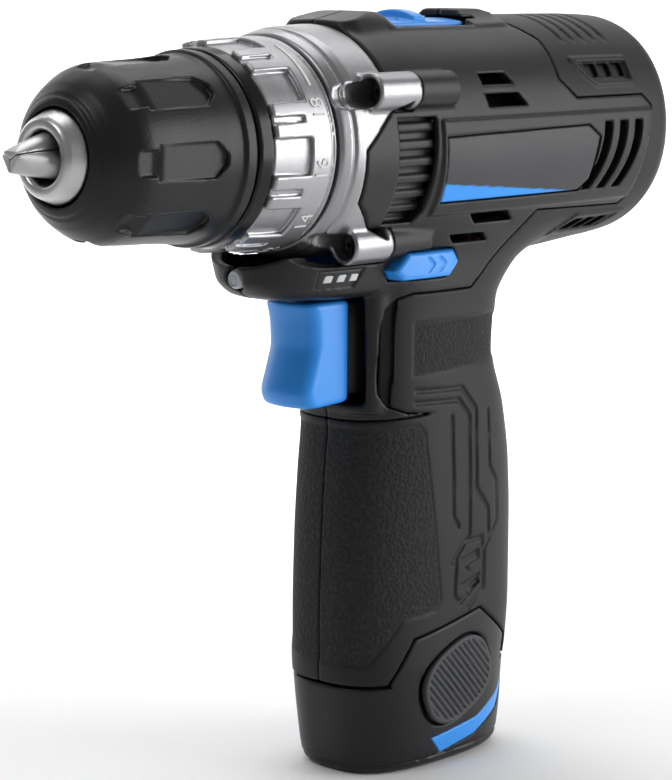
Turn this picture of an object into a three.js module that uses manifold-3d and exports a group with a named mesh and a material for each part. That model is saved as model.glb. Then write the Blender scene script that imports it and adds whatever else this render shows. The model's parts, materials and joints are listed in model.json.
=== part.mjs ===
// Compact 12 V cordless drill with a keyless chuck, a three-stage gearbox and a stick battery.
// Millimetres. X runs along the spindle towards the chuck, Y to the drill's left, Z up.
// The origin is the centre of the battery's flat base.
import * as THREE from 'three';
import { mergeVertices } from 'three/addons/utils/BufferGeometryUtils.js';
import Module from 'manifold-3d';

const wasm = await Module();
wasm.setup();

// ---------------------------------------------------------------- driving dimensions
const SPINDLE_Z = 149;         // height of the spindle axis
const GAP = 0.3;               // running clearance between neighbouring pieces
const WALL = 2.6;              // housing wall
const SKIN = 1.1;              // depth of the rubber overmould
const RING_REAR = 32;          // silver gearbox ring, rear and front
const RING_FRONT = 48;
const COLLAR_REAR = 48.85;     // torque collar
const COLLAR_FRONT = 70;
const COLLAR_R = 23.95;
const POCKETS = 9;             // finger pockets round the torque collar
const SLEEVE_REAR = 74;        // chuck sleeve, in front of its rear flange
const SLEEVE_R = 20.7;
const FLANGE_REAR = 70.4;
const FLANGE_R = 21.4;
const GRIPS = 8;               // finger recesses round the chuck sleeve
const NOSE_FRONT = 112.5;      // steel front of the chuck
const JAW_TIP = 120.65;
const JAW_ANGLE = THREE.MathUtils.degToRad(17.5);
const JAW_R = 3.25;
const JAW_CROSS = 117.45;      // where a closed jaw's own axis crosses the spindle axis
const CELL_R = 9.0;            // 18650 cell
const CELL_LENGTH = 65;
const LED_Z = 119.4;           // height of the lamp in the chin

// three equal planetary stages
const MODULE = 1.1;
const SUN_TEETH = 12;
const PLANET_TEETH = 9;
const RING_TEETH = 30;
const ORBIT = MODULE * (SUN_TEETH + PLANET_TEETH) / 2;
const PIN_R = 1.5;
const CARRIER_R = 15.2;
const RING_GEAR_R = 20;
const STAGES = [
  { name: 'first', gear: [4.5, 9.0], ring: [4.4, 9.0], disc: [9.4, 11.2], sun: [11.2, 17.6] },
  { name: 'second', gear: [11.6, 17.4], ring: [12.8, 17.8], disc: [18.2, 20.0], sun: [20.0, 27.2] },
  { name: 'third', gear: [20.4, 27.0], ring: [20.4, 27.0], disc: [27.6, 31.0], sun: null },
];

// four gearbox screws: place of each ear round the spindle axis
const EARS = [
  { y: 24, z: 12, front: 39.5, rear: 26 },
  { y: -24, z: 12, front: 39.5, rear: 26 },
  { y: 16, z: -22.4, front: 38.5, rear: 26 },
  { y: -16, z: -22.4, front: 38.5, rear: 26 },
];
const EAR_R = 4.3;
const BOSS_REAR = 12;
const CHIN_BED_R = 26.7;       // round bed in the chin, under the torque collar

// ---------------------------------------------------------------- materials
const paint = (color, roughness, metalness = 0) =>
  new THREE.MeshStandardMaterial({ color, roughness, metalness });
const BLACK = 0x1b1c1e;
const RUBBER = 0x141516;
const BLUE = 0x1f7fe8;
const SILVER = 0x8f9094;
const STEEL = 0xb9bbbe;

// ---------------------------------------------------------------- solids
// A closed solid from a three.js geometry, with its faces turned outward.
function solid(geometry) {
  const bare = geometry.clone();
  bare.deleteAttribute('normal');
  bare.deleteAttribute('uv');
  const merged = mergeVertices(bare, 1e-4);
  const position = merged.attributes.position;
  const index = Array.from(merged.index.array);
  const [a, b, c] = [new THREE.Vector3(), new THREE.Vector3(), new THREE.Vector3()];
  let volume = 0;
  const kept = [];
  for (let i = 0; i < index.length; i += 3) {
    const [p, q, r] = index.slice(i, i + 3);
    if (p === q || q === r || r === p) continue;
    kept.push(p, q, r);
    a.fromBufferAttribute(position, p);
    b.fromBufferAttribute(position, q);
    c.fromBufferAttribute(position, r);
    volume += a.dot(b.cross(c));
  }
  if (volume < 0) kept.reverse();
  return new wasm.Manifold(new wasm.Mesh({
    numProp: 3,
    vertProperties: new Float32Array(position.array),
    triVerts: new Uint32Array(kept),
  }));
}

function geometryOf(body) {
  const mesh = body.getMesh();
  const geometry = new THREE.BufferGeometry();
  geometry.setAttribute('position', new THREE.BufferAttribute(mesh.vertProperties, 3));
  geometry.setIndex(new THREE.BufferAttribute(mesh.triVerts, 1));
  return geometry;
}

const joined = (bodies) => bodies.reduce((sum, body) => sum.add(body));
const cutBy = (body, tools) => tools.reduce((rest, tool) => rest.subtract(tool), body);
const mirrored = (body) => solid(geometryOf(body).scale(1, -1, 1));

function box(x0, x1, y0, y1, z0, z1) {
  const geometry = new THREE.BoxGeometry(x1 - x0, y1 - y0, z1 - z0);
  geometry.translate((x0 + x1) / 2, (y0 + y1) / 2, (z0 + z1) / 2);
  return solid(geometry);
}

// Extrusions of an outline of [u, v] points: along X (u = Y, v = Z) and along Y (u = X, v = Z).
const outline = (points) => new THREE.Shape(points.map(([u, v]) => new THREE.Vector2(u, v)));
const slab = (shape, depth) => (
  new THREE.ExtrudeGeometry(shape, { depth, bevelEnabled: false, curveSegments: 8 }));

function alongX(shape, x0, x1) {
  return solid(slab(shape, x1 - x0).rotateX(Math.PI / 2).rotateZ(Math.PI / 2).translate(x0, 0, 0));
}

function alongY(shape, y0, y1) {
  return solid(slab(shape, y1 - y0).rotateX(Math.PI / 2).translate(0, y1, 0));
}

// A solid turned about the spindle axis from [x, radius] points.
function turned(points, segments = 24) {
  const geometry = new THREE.LatheGeometry(points.map(([x, r]) => new THREE.Vector2(r, x)), segments);
  return solid(geometry.rotateZ(-Math.PI / 2).translate(0, 0, SPINDLE_Z));
}

function tube(x0, x1, inner, outer, segments = 24) {
  return turned([[x0, inner], [x0, outer], [x1, outer], [x1, inner], [x0, inner]], segments);
}

function disc(x0, x1, radius, segments = 24) {
  return turned([[x0, 0], [x0, radius], [x1, radius], [x1, 0]], segments);
}

// A round rod parallel to the spindle, dy and dz off its axis.
function rod(x0, x1, radius, dy, dz, segments = 8) {
  const geometry = new THREE.CylinderGeometry(radius, radius, x1 - x0, segments).rotateZ(-Math.PI / 2);
  return solid(geometry.translate((x0 + x1) / 2, dy, SPINDLE_Z + dz));
}

// A round rod standing along Z.
function post(x, y, radius, z0, z1, segments = 20) {
  const geometry = new THREE.CylinderGeometry(radius, radius, z1 - z0, segments).rotateX(Math.PI / 2);
  return solid(geometry.translate(x, y, (z0 + z1) / 2));
}

// A round wire through the given points.
function wire(points, radius, steps, curveSegments) {
  const section = new THREE.Shape().absarc(0, 0, radius, 0, 2 * Math.PI);
  const extrudePath = new THREE.CatmullRomCurve3(points);
  const options = { steps, curveSegments, extrudePath, bevelEnabled: false };
  return solid(new THREE.ExtrudeGeometry(section, options));
}

// Superellipse sections swept along a height: each section is { at, u0, u1, v0, v1, n }.
function swept(sections, around, place) {
  const rows = sections.length - 1;
  const geometry = new THREE.CylinderGeometry(1, 1, rows, around, rows);
  const position = geometry.attributes.position;
  for (let i = 0; i < position.count; i += 1) {
    const section = sections[Math.round(position.getY(i) + rows / 2)];
    const c = position.getX(i);
    const s = position.getZ(i);
    const power = 2 / section.n;
    const cu = Math.sign(c) * Math.abs(c) ** power;
    const sv = Math.sign(s) * Math.abs(s) ** power;
    const u = (section.u0 + section.u1) / 2 + cu * (section.u1 - section.u0) / 2;
    const v = sv > 0 ? sv * section.v1 : -sv * section.v0;
    const [x, y, z] = place(u, v, section.at);
    position.setXYZ(i, x, y, z);
  }
  return solid(geometry);
}

// Horizontal sections: [z, rear x, front x, half width, exponent]
function upright(rows, inset = 0, around = 20) {
  const sections = rows.map(([at, rear, front, half, n]) => (
    { at, u0: rear + inset, u1: front - inset, v0: inset - half, v1: half - inset, n }));
  return swept(sections, around, (u, v, z) => [u, v, z]);
}

// Sections across the spindle: [x, half width, up, down, exponent]
function barrel(rows, inset = 0, around = 24) {
  const sections = rows.map(([at, half, up, down, n]) => (
    { at, u0: inset - half, u1: half - inset, v0: inset - down, v1: up - inset, n }));
  return swept(sections, around, (u, v, x) => [x, u, SPINDLE_Z + v]);
}

// ---------------------------------------------------------------- the drill's outer form
const BARREL = [
  [-73, 20.5, 22, 21, 2.05], [-72, 22.6, 24.6, 23.6, 2.1], [-70.2, 24.5, 26.2, 25.6, 2.15],
  [-66, 26, 27.3, 27.2, 2.15], [-54, 26.5, 27.7, 28.4, 2.1], [-30, 26.5, 27.8, 30, 2.1],
  [0, 26.5, 27.4, 29, 2.1], [18, 26.3, 27.4, 27.4, 2.05], [31.7, 26, 26.4, 26.2, 2],
];
const HANDLE = [
  [21.8, -28.5, 28.3, 18.2, 2.8], [26, -29, 28.5, 18.5, 2.8], [38, -29.8, 28.6, 18.7, 2.8],
  [56, -29.7, 28.1, 18.7, 2.8], [70, -29.1, 27.3, 18.4, 2.8], [84, -26.8, 26.2, 17.9, 2.6],
  [98, -22.6, 26.1, 17.4, 2.6], [110, -23.6, 26.4, 17.6, 2.6], [119, -30.5, 27.6, 18.4, 2.5],
  [128, -46, 28.6, 19.8, 2.4],
];
const CHIN = [
  [113.4, 0, 47.6, 12.5, 2.6], [115.6, 0, 53.6, 14.4, 2.6], [119, 0, 56.8, 15.8, 2.6],
  [127, 0, 57.8, 17.4, 2.6],
];

// Barrel, handle and chin together. Inset, the form runs on past its lower and front ends, so that a shell
// left by subtracting it is open there.
function outerForm(inset) {
  const handle = [...HANDLE];
  const casing = [...BARREL];
  if (inset > 0) {
    handle[0] = [14, ...HANDLE[0].slice(1)];
    casing[0] = [BARREL[0][0] + inset, ...BARREL[0].slice(1)];
    casing[casing.length - 1] = [40, ...BARREL[BARREL.length - 1].slice(1)];
  }
  const chin = upright(CHIN, inset).subtract(disc(RING_REAR - GAP, 60, CHIN_BED_R));
  return joined([barrel(casing, inset), upright(handle, inset), chin]);
}

// The frame round the trigger's opening.
function triggerFrame(grow) {
  return upright([[86.4 - grow, 6, 26.6 + grow, 13.6 + grow, 4], [117.2, 6, 27.3 + grow, 14.5 + grow, 4]]);
}

// Side view of the rubber grip, as [x, z] round its edge.
const GRIP_EDGE = [
  [-23.5, 190], [-23.5, 175.5], [-28.7, 170.8], [-28, 162.2], [-33.1, 157.6], [-58.9, 157.6], [-62.3, 154.7],
  [-60.5, 148.7], [-57.6, 132.6], [-56, 130.6], [-22.6, 131.3], [-4, 114], [18, 114], [22.4, 110],
  [23, 92.4], [19.5, 88], [10, 86], [40, 84], [40, 10], [-90, 10], [-90, 190],
];

// The region that the grip fills, grown by moving its outline each way.
function gripRegion(grow) {
  const moves = grow > 0 ? [[grow, 0], [-grow, 0], [0, grow], [0, -grow]] : [[0, 0]];
  const edges = moves.map(([dx, dz]) => GRIP_EDGE.map(([x, z]) => [x + dx, z + dz]));
  return joined(edges.map((edge) => alongY(outline(edge), 0, 40)));
}

// ---------------------------------------------------------------- casing halves and grips
// The battery stem: rear and front x, half width and squareness, shared with the handle's bore.
const STEM = { rear: -27.7, front: 25.9, half: 15.3, n: 3.4 };
const STEM_TOP = 71.3;

const stemSolid = (z0, z1, grow) => upright(
  [z0, z1].map((z) => [z, STEM.rear - grow, STEM.front + grow, STEM.half + grow, STEM.n]), 0, 28);

function ventSlots() {
  const slots = [];
  for (const x of [-43.5, -49.5, -55.5]) {
    slots.push(box(x - 1.6, x + 1.6, 18, 32, 136, 151));
  }
  slots.push(box(-13.5, -2, 17, 32, 161.6, 163.8));
  slots.push(box(-13.5, -2, 17, 32, 156.8, 159.4));
  slots.push(box(-15, 0, 12, 32, 129.4, 131.6));
  return slots;
}

function casingHalf() {
  const chinRoof = disc(RING_REAR - GAP, 60, CHIN_BED_R);
  const lumpEdge = [[16.4, 170], [16.4, 177.2], [20, 177.9], [26, 177.4], [31.7, 175], [31.7, 170]];
  const humpEdge = [[-11.8, 170], [-11.8, 177.6], [-16, 178.1], [-28, 177.2], [-34, 174], [-34, 170]];
  const lumps = [lumpEdge, humpEdge].map((edge) => alongY(outline(edge), 0, 9));
  let body = joined([outerForm(0), triggerFrame(0), ...lumps]);
  body = body.intersect(box(-100, 100, 0.15, 60, 0, 200));
  for (const ear of EARS.filter((e) => e.y > 0)) {
    body = body.add(rod(BOSS_REAR, ear.rear - GAP, EAR_R - 0.1, ear.y, ear.z, 12));
  }
  const hollow = barrel([
    [-70.3, 19.6, 21, 20, 2], [-66, 22.8, 23.8, 23.4, 2], [-54, 23.8, 24.6, 25.2, 2.1],
    [0, 23.9, 24.4, 26, 2.1], [2, 24.75, 24.75, 24.75, 2], [40, 24.75, 24.75, 24.75, 2],
  ]);
  const neck = upright(HANDLE.slice(4).map((row, i) => (i === 0 ? [68, ...row.slice(1)] : row)), WALL, 20);
  const chinHollow = upright([[116.6, 0, 44, 11, 2.6], [121, 0, 50, 12.5, 2.6], [130, 0, 51, 13, 2.6]]);
  const hollowChin = chinHollow.subtract(disc(RING_REAR - GAP, 60, 28.5));
  body = cutBy(body, [
    hollow,
    neck,
    hollowChin,
    stemSolid(-20, STEM_TOP + 0.8, 0.35),
    box(12, 60, -1, 11, 88.4, 114.2),
    box(17.6, 31.0, 18, 34, 130, 155.5),
    box(-11.6, 16.2, -1, 8.3, 160, 190),
    box(-15.4, -11, -1, 8.3, 160, 176.4),
    box(2.1, 24.5, -1, 30, 117.4, 124.2),
    rod(51, 60, 2.5, 0, LED_Z - SPINDLE_Z, 14),
    box(31.2, 43.8, 12.7, 20, 117.1, 121.3),
    cheekRegion(0.4),
    chinRoof,
    ...ventSlots(),
  ]);
  for (const ear of EARS.filter((e) => e.y > 0)) {
    body = body.subtract(rod(ear.rear - GAP, 40, EAR_R + GAP, ear.y, ear.z, 12));
    body = body.subtract(rod(BOSS_REAR + 2, 30, 1.9, ear.y, ear.z));
  }
  const groove = outerForm(-0.2).subtract(outerForm(SKIN + 0.5));
  body = body.subtract(groove.intersect(gripRegion(GAP)));
  body = body.subtract(alongY(outline(PLATE_EDGE), 24.9, 40));
  return body;
}

function gripHalf() {
  const skin = outerForm(0).subtract(outerForm(SKIN));
  const openings = [
    triggerFrame(GAP),
    stemSolid(0, STEM_TOP + 0.8, GAP),
    box(-40, 40, -1, 30, 0, 22.3),
    box(1.4, 25.2, 12, 30, 116.9, 124.7),
    cheekRegion(0.4),
    ...ventSlots(),
  ];
  let body = skin.intersect(gripRegion(0)).intersect(box(-100, 100, 0.15, 60, 0, 200));
  return cutBy(body, openings);
}

// The biggest of a solid's separate pieces.
function largest(body) {
  return body.decompose().reduce((best, piece) => (piece.volume() > best.volume() ? piece : best));
}

// Name plate on the side, [x, z] round its edge.
const PLATE_EDGE = [
  [15.7, 150.4], [-36, 151.2], [-40.5, 148.4], [-38.3, 137.8], [-35.1, 135.3], [14.7, 135.2],
];

function namePlate() {
  const centre = new THREE.Vector2(-12, 143);
  const edge = PLATE_EDGE.map(([x, z]) => [
    x - Math.sign(x - centre.x) * GAP, z - Math.sign(z - centre.y) * GAP,
  ]);
  const shell = barrel(BARREL, -0.1).subtract(barrel(BARREL, 1.1));
  const half = shell.intersect(alongY(outline(edge), 15, 40)).intersect(box(-60, 40, 15, 40, 100, 200));
  return half.intersect(box(-60, 40, 25.2, 40, 100, 200));
}

// ---------------------------------------------------------------- gearbox
function gearboxCase() {
  let body = turned([
    [2.6, 8], [2.6, 23.6], [3.4, 24.4], [31, 24.4], [33.4, 22], [33.4, 11.5], [64, 11.5], [64, 8.8],
    [34.6, 8.8], [34.6, 9.6], [32.2, 9.6], [32.2, 15.6], [31.4, 20.3], [3.9, 20.3], [3.9, 8], [2.6, 8],
  ], 32);
  for (const ear of EARS) {
    body = body.subtract(rod(ear.rear - 1, 40, EAR_R + GAP, ear.y, ear.z, 12));
    body = body.subtract(rod(BOSS_REAR - 1, 30, EAR_R + GAP, ear.y, ear.z, 12));
  }
  return body.subtract(box(8.4, 18.4, -4, 4, SPINDLE_Z + 18, SPINDLE_Z + 26));
}

function gearboxRing() {
  let body = turned([
    [RING_REAR, 24.8], [RING_REAR, 26.2], [RING_FRONT - 6, 25.8], [RING_FRONT, 24.4], [RING_FRONT, 17.5],
    [33.8, 17.5], [33.8, 24.8], [RING_REAR, 24.8],
  ], 32);
  for (const ear of EARS) {
    const lug = rod(ear.rear, ear.front, EAR_R, ear.y, ear.z, 12);
    body = body.add(lug);
  }
  for (const ear of EARS) {
    body = body.subtract(rod(ear.rear - 1, 50, 1.9, ear.y, ear.z));
    body = body.subtract(rod(ear.rear + 6, 50, 3.2, ear.y, ear.z, 12));
  }
  return body;
}

function gearboxScrew(ear) {
  const [x0, x1] = [ear.rear + 7.9, ear.rear + 10];
  const z = SPINDLE_Z + ear.z;
  const head = rod(ear.rear + 6.3, ear.rear + 8.8, 2.8, ear.y, ear.z, 12);
  const shank = rod(BOSS_REAR + 2.5, ear.rear + 6.5, 1.45, ear.y, ear.z, 8);
  const slot = box(x0, x1, ear.y - 0.45, ear.y + 0.45, z - 2, z + 2);
  const cross = box(x0, x1, ear.y - 2, ear.y + 2, z - 0.45, z + 0.45);
  return head.add(shank).subtract(slot).subtract(cross);
}

// Tooth outline as [y, z]: tip and root radii, tooth widths at both, first tooth at the given turn.
function toothed(teeth, tip, root, tipWidth, rootWidth, turn) {
  const points = [];
  for (let i = 0; i < teeth; i += 1) {
    const middle = turn + 2 * Math.PI * i / teeth;
    const corners = [[root, -rootWidth], [tip, -tipWidth], [tip, tipWidth], [root, rootWidth]];
    for (const [radius, width] of corners) {
      const angle = middle + width / 2 / radius;
      points.push([radius * Math.cos(angle), radius * Math.sin(angle)]);
    }
  }
  return points;
}

function gearOutline(teeth, turn) {
  const pitch = MODULE * teeth / 2;
  return toothed(teeth, pitch + 0.7 * MODULE, pitch - 0.95 * MODULE, 0.62, 1.75, turn);
}

const raised = (points, dy = 0, dz = 0) => points.map(([y, z]) => [y + dy, z + SPINDLE_Z + dz]);

function planet(stage, index) {
  const place = 2 * Math.PI * index / 3;
  const [dy, dz] = [ORBIT * Math.cos(place), ORBIT * Math.sin(place)];
  const teeth = raised(gearOutline(PLANET_TEETH, place), dy, dz);
  const gear = alongX(outline(teeth), stage.gear[0], stage.gear[1]);
  return gear.subtract(rod(stage.gear[0] - 1, stage.gear[1] + 1, PIN_R + 0.25, dy, dz));
}

function sunGear(x0, x1) {
  return alongX(outline(raised(gearOutline(SUN_TEETH, 0))), x0, x1);
}

function ringGear(stage) {
  const pitch = MODULE * RING_TEETH / 2;
  const inside = toothed(RING_TEETH, pitch + 0.95 * MODULE, pitch - 0.7 * MODULE, 1.75, 2.8, 0);
  const bore = alongX(outline(raised(inside)), stage.ring[0] - 1, stage.ring[1] + 1);
  const blank = disc(stage.ring[0], stage.ring[1], RING_GEAR_R, RING_TEETH);
  const groove = stage.name === 'second' ? tube(14.6, 16, RING_GEAR_R - 1, RING_GEAR_R + 2) : null;
  return groove ? blank.subtract(bore).subtract(groove) : blank.subtract(bore);
}

function carrier(stage) {
  let body = disc(stage.disc[0], stage.disc[1], CARRIER_R);
  for (let i = 0; i < 3; i += 1) {
    const place = 2 * Math.PI * i / 3;
    const [dy, dz] = [ORBIT * Math.cos(place), ORBIT * Math.sin(place)];
    body = body.add(rod(stage.gear[0] + 0.2, stage.disc[0] + 0.2, PIN_R, dy, dz));
  }
  if (stage.sun) return body.add(sunGear(stage.sun[0] - 0.2, stage.sun[1]));
  const drive = 4.3;
  return body.subtract(box(27, 32, -drive, drive, SPINDLE_Z - drive, SPINDLE_Z + drive));
}

function spindle() {
  const drive = 4;
  const shaft = turned([
    [32, 0], [32, 5.2], [65.5, 5.2], [65.5, 8], [73.6, 8], [73.6, 4.6], [88.2, 4.6], [88.2, 2.4], [79, 2.4],
    [79, 0],
  ], 20);
  return shaft.add(box(28, 32.5, -drive, drive, SPINDLE_Z - drive, SPINDLE_Z + drive));
}

function frontBearing() {
  const inner = 5.5;
  const rings = tube(52, 60, inner, 8.5, 20);
  const channel = turned([[51, 6.5], [51, 7.5], [52.6, 7.5], [52.6, 6.5], [51, 6.5]], 20);
  return rings.subtract(channel);
}

function shiftFork() {
  const arch = tube(14.9, 15.7, RING_GEAR_R - 0.6, RING_GEAR_R + 0.1);
  const upper = arch.intersect(box(10, 20, -30, 30, SPINDLE_Z, SPINDLE_Z + 30));
  return upper.add(box(14.9, 15.7, -1.5, 1.5, SPINDLE_Z + RING_GEAR_R - 0.5, SPINDLE_Z + 25));
}

function speedSelector() {
  const plate = alongX(outline([[-7.8, 24.9], [-7.8, 26.3], [-4, 26.9], [4, 26.9], [7.8, 26.3], [7.8, 24.9]]
    .map(([y, z]) => [y, z + SPINDLE_Z])), -11.2, 15.8);
  const tab = alongX(outline([[-7, 26], [-6.4, 28], [-3, 29.3], [3, 29.3], [6.4, 28], [7, 26]]
    .map(([y, z]) => [y, z + SPINDLE_Z])), 2.2, 5);
  const slot = box(10.5, 20, -2, 2, SPINDLE_Z + 20, SPINDLE_Z + 25.4);
  return plate.add(tab).subtract(slot);
}

// ---------------------------------------------------------------- motor
function motorCan() {
  return turned([
    [-46, 17], [-46, 18.2], [2, 18.2], [2, 3.4], [0.6, 3.4], [0.6, 17], [-46, 17],
  ]);
}

function motorMagnet(side) {
  const arc = tube(-38, -8, 12.4, 16.7);
  return side > 0
    ? arc.intersect(box(-60, 10, 3, 30, SPINDLE_Z - 12, SPINDLE_Z + 12))
    : arc.intersect(box(-60, 10, -30, -3, SPINDLE_Z - 12, SPINDLE_Z + 12));
}

function armature() {
  const parts = [
    turned([
      [-60, 0], [-60, 1.5], [-39, 1.5], [-39, 7], [-36, 9.5], [-8, 9.5], [-6, 7.5], [-6, 1.6], [4.3, 1.6],
      [4.3, 0],
    ], 20),
    sunGear(4.2, 9.1),
  ];
  return joined(parts).add(disc(-46, -38.8, 4.2, 20));
}

function coolingFan() {
  let body = tube(-66, -61.4, 1.2, 6, 16).add(tube(-66, -64.9, 1.2, 18));
  for (let i = 0; i < 8; i += 1) {
    const blade = new THREE.BoxGeometry(3.6, 10.5, 1).translate(-63.2, 11.2, 0).rotateX(2 * Math.PI * i / 8);
    body = body.add(solid(blade.translate(0, 0, SPINDLE_Z)));
  }
  return body.add(disc(-66, -60.3, 2, 16));
}

function motorEndCap() {
  const cup = turned([
    [-46.3, 16.6], [-46.3, 18.2], [-51, 18.2], [-55, 14], [-57, 8], [-57, 1.9], [-54.6, 1.9], [-54.6, 7],
    [-52.6, 12.5], [-49.5, 16.6], [-46.3, 16.6],
  ]);
  const opening = box(-53, -47.5, -4, 4, SPINDLE_Z - 25, SPINDLE_Z + 25);
  return cup.subtract(opening);
}

// ---------------------------------------------------------------- chuck
// Place something built along +X, crossing the axis at JAW_CROSS, in jaw number index.
function jawBore(radius, x0, x1, index) {
  const length = (x1 - x0) / Math.cos(JAW_ANGLE);
  const middle = ((x0 + x1) / 2 - JAW_CROSS) / Math.cos(JAW_ANGLE);
  const geometry = new THREE.CylinderGeometry(radius, radius, length, 10).rotateZ(-Math.PI / 2);
  geometry.translate(middle, 0, 0).rotateY(JAW_ANGLE).translate(JAW_CROSS, 0, 0);
  return solid(geometry.rotateX(2 * Math.PI * index / 3).translate(0, 0, SPINDLE_Z));
}

function chuckJaw(index) {
  const apex = 0.2;
  const reach = 30;
  const angle = Math.PI / 3;
  const wedge = new THREE.Shape([
    new THREE.Vector2(0, apex),
    new THREE.Vector2(reach * Math.sin(angle), apex + reach * Math.cos(angle)),
    new THREE.Vector2(-reach * Math.sin(angle), apex + reach * Math.cos(angle)),
  ]);
  const sector = slab(wedge, 40).rotateX(Math.PI / 2).rotateZ(Math.PI / 2).translate(85, 0, 0);
  const keep = solid(sector.rotateX(2 * Math.PI * index / 3).translate(0, 0, SPINDLE_Z));
  return jawBore(JAW_R, 90, 124, index).intersect(keep).intersect(disc(85, JAW_TIP, 20));
}

function chuckBody() {
  const body = turned([
    [74.2, 4.9], [74.2, 17.3], [85.2, 17.3], [85.2, 13.1], [91.4, 11.3], [91.4, 15], [96, 15], [104.5, 10],
    [108.2, 10], [NOSE_FRONT, 8.2], [NOSE_FRONT, 5.5], [90, 5.5], [90, 2.4], [88.6, 2.4], [88.6, 4.9],
    [74.2, 4.9],
  ]);
  return cutBy(body, [0, 1, 2].map((i) => jawBore(JAW_R + 0.3, 70, 118, i)));
}

function chuckNut() {
  return turned([[85.6, 13.75], [85.6, 17.6], [91, 17.6], [91, 12.05], [85.6, 13.75]]);
}

function chuckSleeve() {
  const body = turned([
    [FLANGE_REAR, 17.9], [FLANGE_REAR, FLANGE_R], [SLEEVE_REAR - 0.4, FLANGE_R], [SLEEVE_REAR, SLEEVE_R],
    [80, 20.3], [94, 19.7], [100, 18.6], [105, 15.8], [108.5, 12.5], [108.6, 10.4], [106, 10.4], [92, 17.9],
    [FLANGE_REAR, 17.9],
  ], 32);
  const tools = [];
  for (let i = 0; i < GRIPS; i += 1) {
    const recess = new THREE.BoxGeometry(25, 7.8, 4).translate(90.5, 0, 21.3);
    recess.rotateX(Math.PI / 2 + 2 * Math.PI * i / GRIPS);
    tools.push(solid(recess.translate(0, 0, SPINDLE_Z)));
  }
  return cutBy(body, tools);
}

function chuckScrew() {
  const screw = turned([[80, 0], [80, 2], [90.3, 2], [90.3, 3.6], [93, 3.6], [93, 0]], 16);
  return screw.subtract(box(92, 94, -2.5, 2.5, SPINDLE_Z - 0.4, SPINDLE_Z + 0.4));
}

// ---------------------------------------------------------------- torque clutch
function torqueCollar() {
  const body = turned([
    [COLLAR_REAR, 20.2], [COLLAR_REAR, COLLAR_R], [62, 23.4], [69.3, 22], [COLLAR_FRONT, 21.2],
    [COLLAR_FRONT, 15], [67, 15], [65.5, 19.8], [COLLAR_REAR, 20.2],
  ], 36);
  const tools = [];
  for (let i = 0; i < POCKETS; i += 1) {
    const pocket = new THREE.BoxGeometry(10, 7.4, 4).translate(61, 0, 24.2);
    pocket.rotateX(Math.PI / 2 - THREE.MathUtils.degToRad(2.5) + 2 * Math.PI * i / POCKETS);
    tools.push(solid(pocket.translate(0, 0, SPINDLE_Z)));
  }
  return cutBy(body, tools);
}

function clutchNut() {
  return turned([[56, 12], [56, 19.2], [57.4, 19.2], [57.4, 14], [59, 14], [59, 12], [56, 12]]);
}

function clutchSpring() {
  const turns = 3.5;
  const [x0, x1] = [35.2, 54.4];
  const points = [];
  for (let i = 0; i <= turns * 12; i += 1) {
    const along = i / (turns * 12);
    const angle = 2 * Math.PI * turns * along;
    const [dy, dz] = [14.2 * Math.cos(angle), 14.2 * Math.sin(angle)];
    points.push(new THREE.Vector3(x0 + (x1 - x0) * along, dy, SPINDLE_Z + dz));
  }
  return wire(points, 1.1, turns * 12, 3);
}

// ---------------------------------------------------------------- switch and controls
function trigger() {
  const face = new THREE.Shape();
  face.moveTo(26.4, 89.4);
  face.lineTo(38.6, 88.6);
  face.quadraticCurveTo(43.2, 89.2, 42.8, 93.2);
  face.quadraticCurveTo(38.6, 103, 41.2, 113);
  face.lineTo(26.4, 113);
  face.closePath();
  const body = alongY(face, -8, 8);
  const neck = box(14.5, 27, -6, 6, 91, 112);
  const stem = box(8.6, 15, -3, 3, 98, 104);
  return joined([body, neck, stem]);
}

function switchBody() {
  const block = box(-13, 8, -7.6, 7.6, 91, 111);
  const socket = box(2.2, 9, -3.3, 3.3, 97.7, 104.3);
  return block.subtract(socket);
}

function directionButton() {
  const pill = new THREE.Shape();
  pill.moveTo(2.4, 120.8);
  pill.lineTo(6.4, 117.7);
  pill.lineTo(21.8, 117.7);
  pill.lineTo(24.2, 120);
  pill.lineTo(20.2, 123.9);
  pill.lineTo(5, 123.9);
  pill.closePath();
  return alongY(pill, -20.3, 20.3);
}

function ledLens() {
  return rod(53.6, 57.1, 2.2, 0, LED_Z - SPINDLE_Z, 14);
}

function gaugeWindow() {
  return alongY(outline([[31.5, 121], [31.5, 117.4], [43.5, 117.4], [43.5, 121]]), 13, 15.4);
}

function terminalBlock() {
  const plate = box(-16, 14, -10, 10, 80, 83.5);
  const blades = [-8, 0, 8].map((x) => box(x - 2.6, x + 2.6, -0.5, 0.5, 74.2, 80.2));
  return joined([plate, ...blades]);
}

function wireLoom() {
  const route = [[-18, 83], [-17.6, 92], [-17.4, 106], [-22, 117.6], [-32, 125.2], [-46, 127]];
  return wire(route.map(([x, z]) => new THREE.Vector3(x, 0, z)), 1.6, 14, 4);
}

// ---------------------------------------------------------------- battery
const CELLS = [[-17.3, 4.06], [-0.9, -4.06], [15.5, 4.06]];
const BASE = [
  [0, -25.6, 24.4, 15.2, 2.7], [2.2, -27.2, 25.8, 16.6, 2.7], [10, -28.1, 27, 17.4, 2.8],
  [21.5, -28.5, 28.2, 18.1, 2.8],
];
// Side view of the battery's cheeks, which rise into notches in the handle, as [x, z].
const CHEEK_EDGE = [[20.5, 10], [20.5, 20.5], [13.8, 32.4], [-8.4, 36.6], [-21.5, 26.5], [-23.5, 10]];

function cheekRegion(grow) {
  const middle = { x: -1, z: 15 };
  const points = CHEEK_EDGE.map(([x, z]) => [
    x + Math.sign(x - middle.x) * grow, z + Math.sign(z - middle.z) * grow,
  ]);
  return alongY(outline(points), 15, 40);
}

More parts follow.
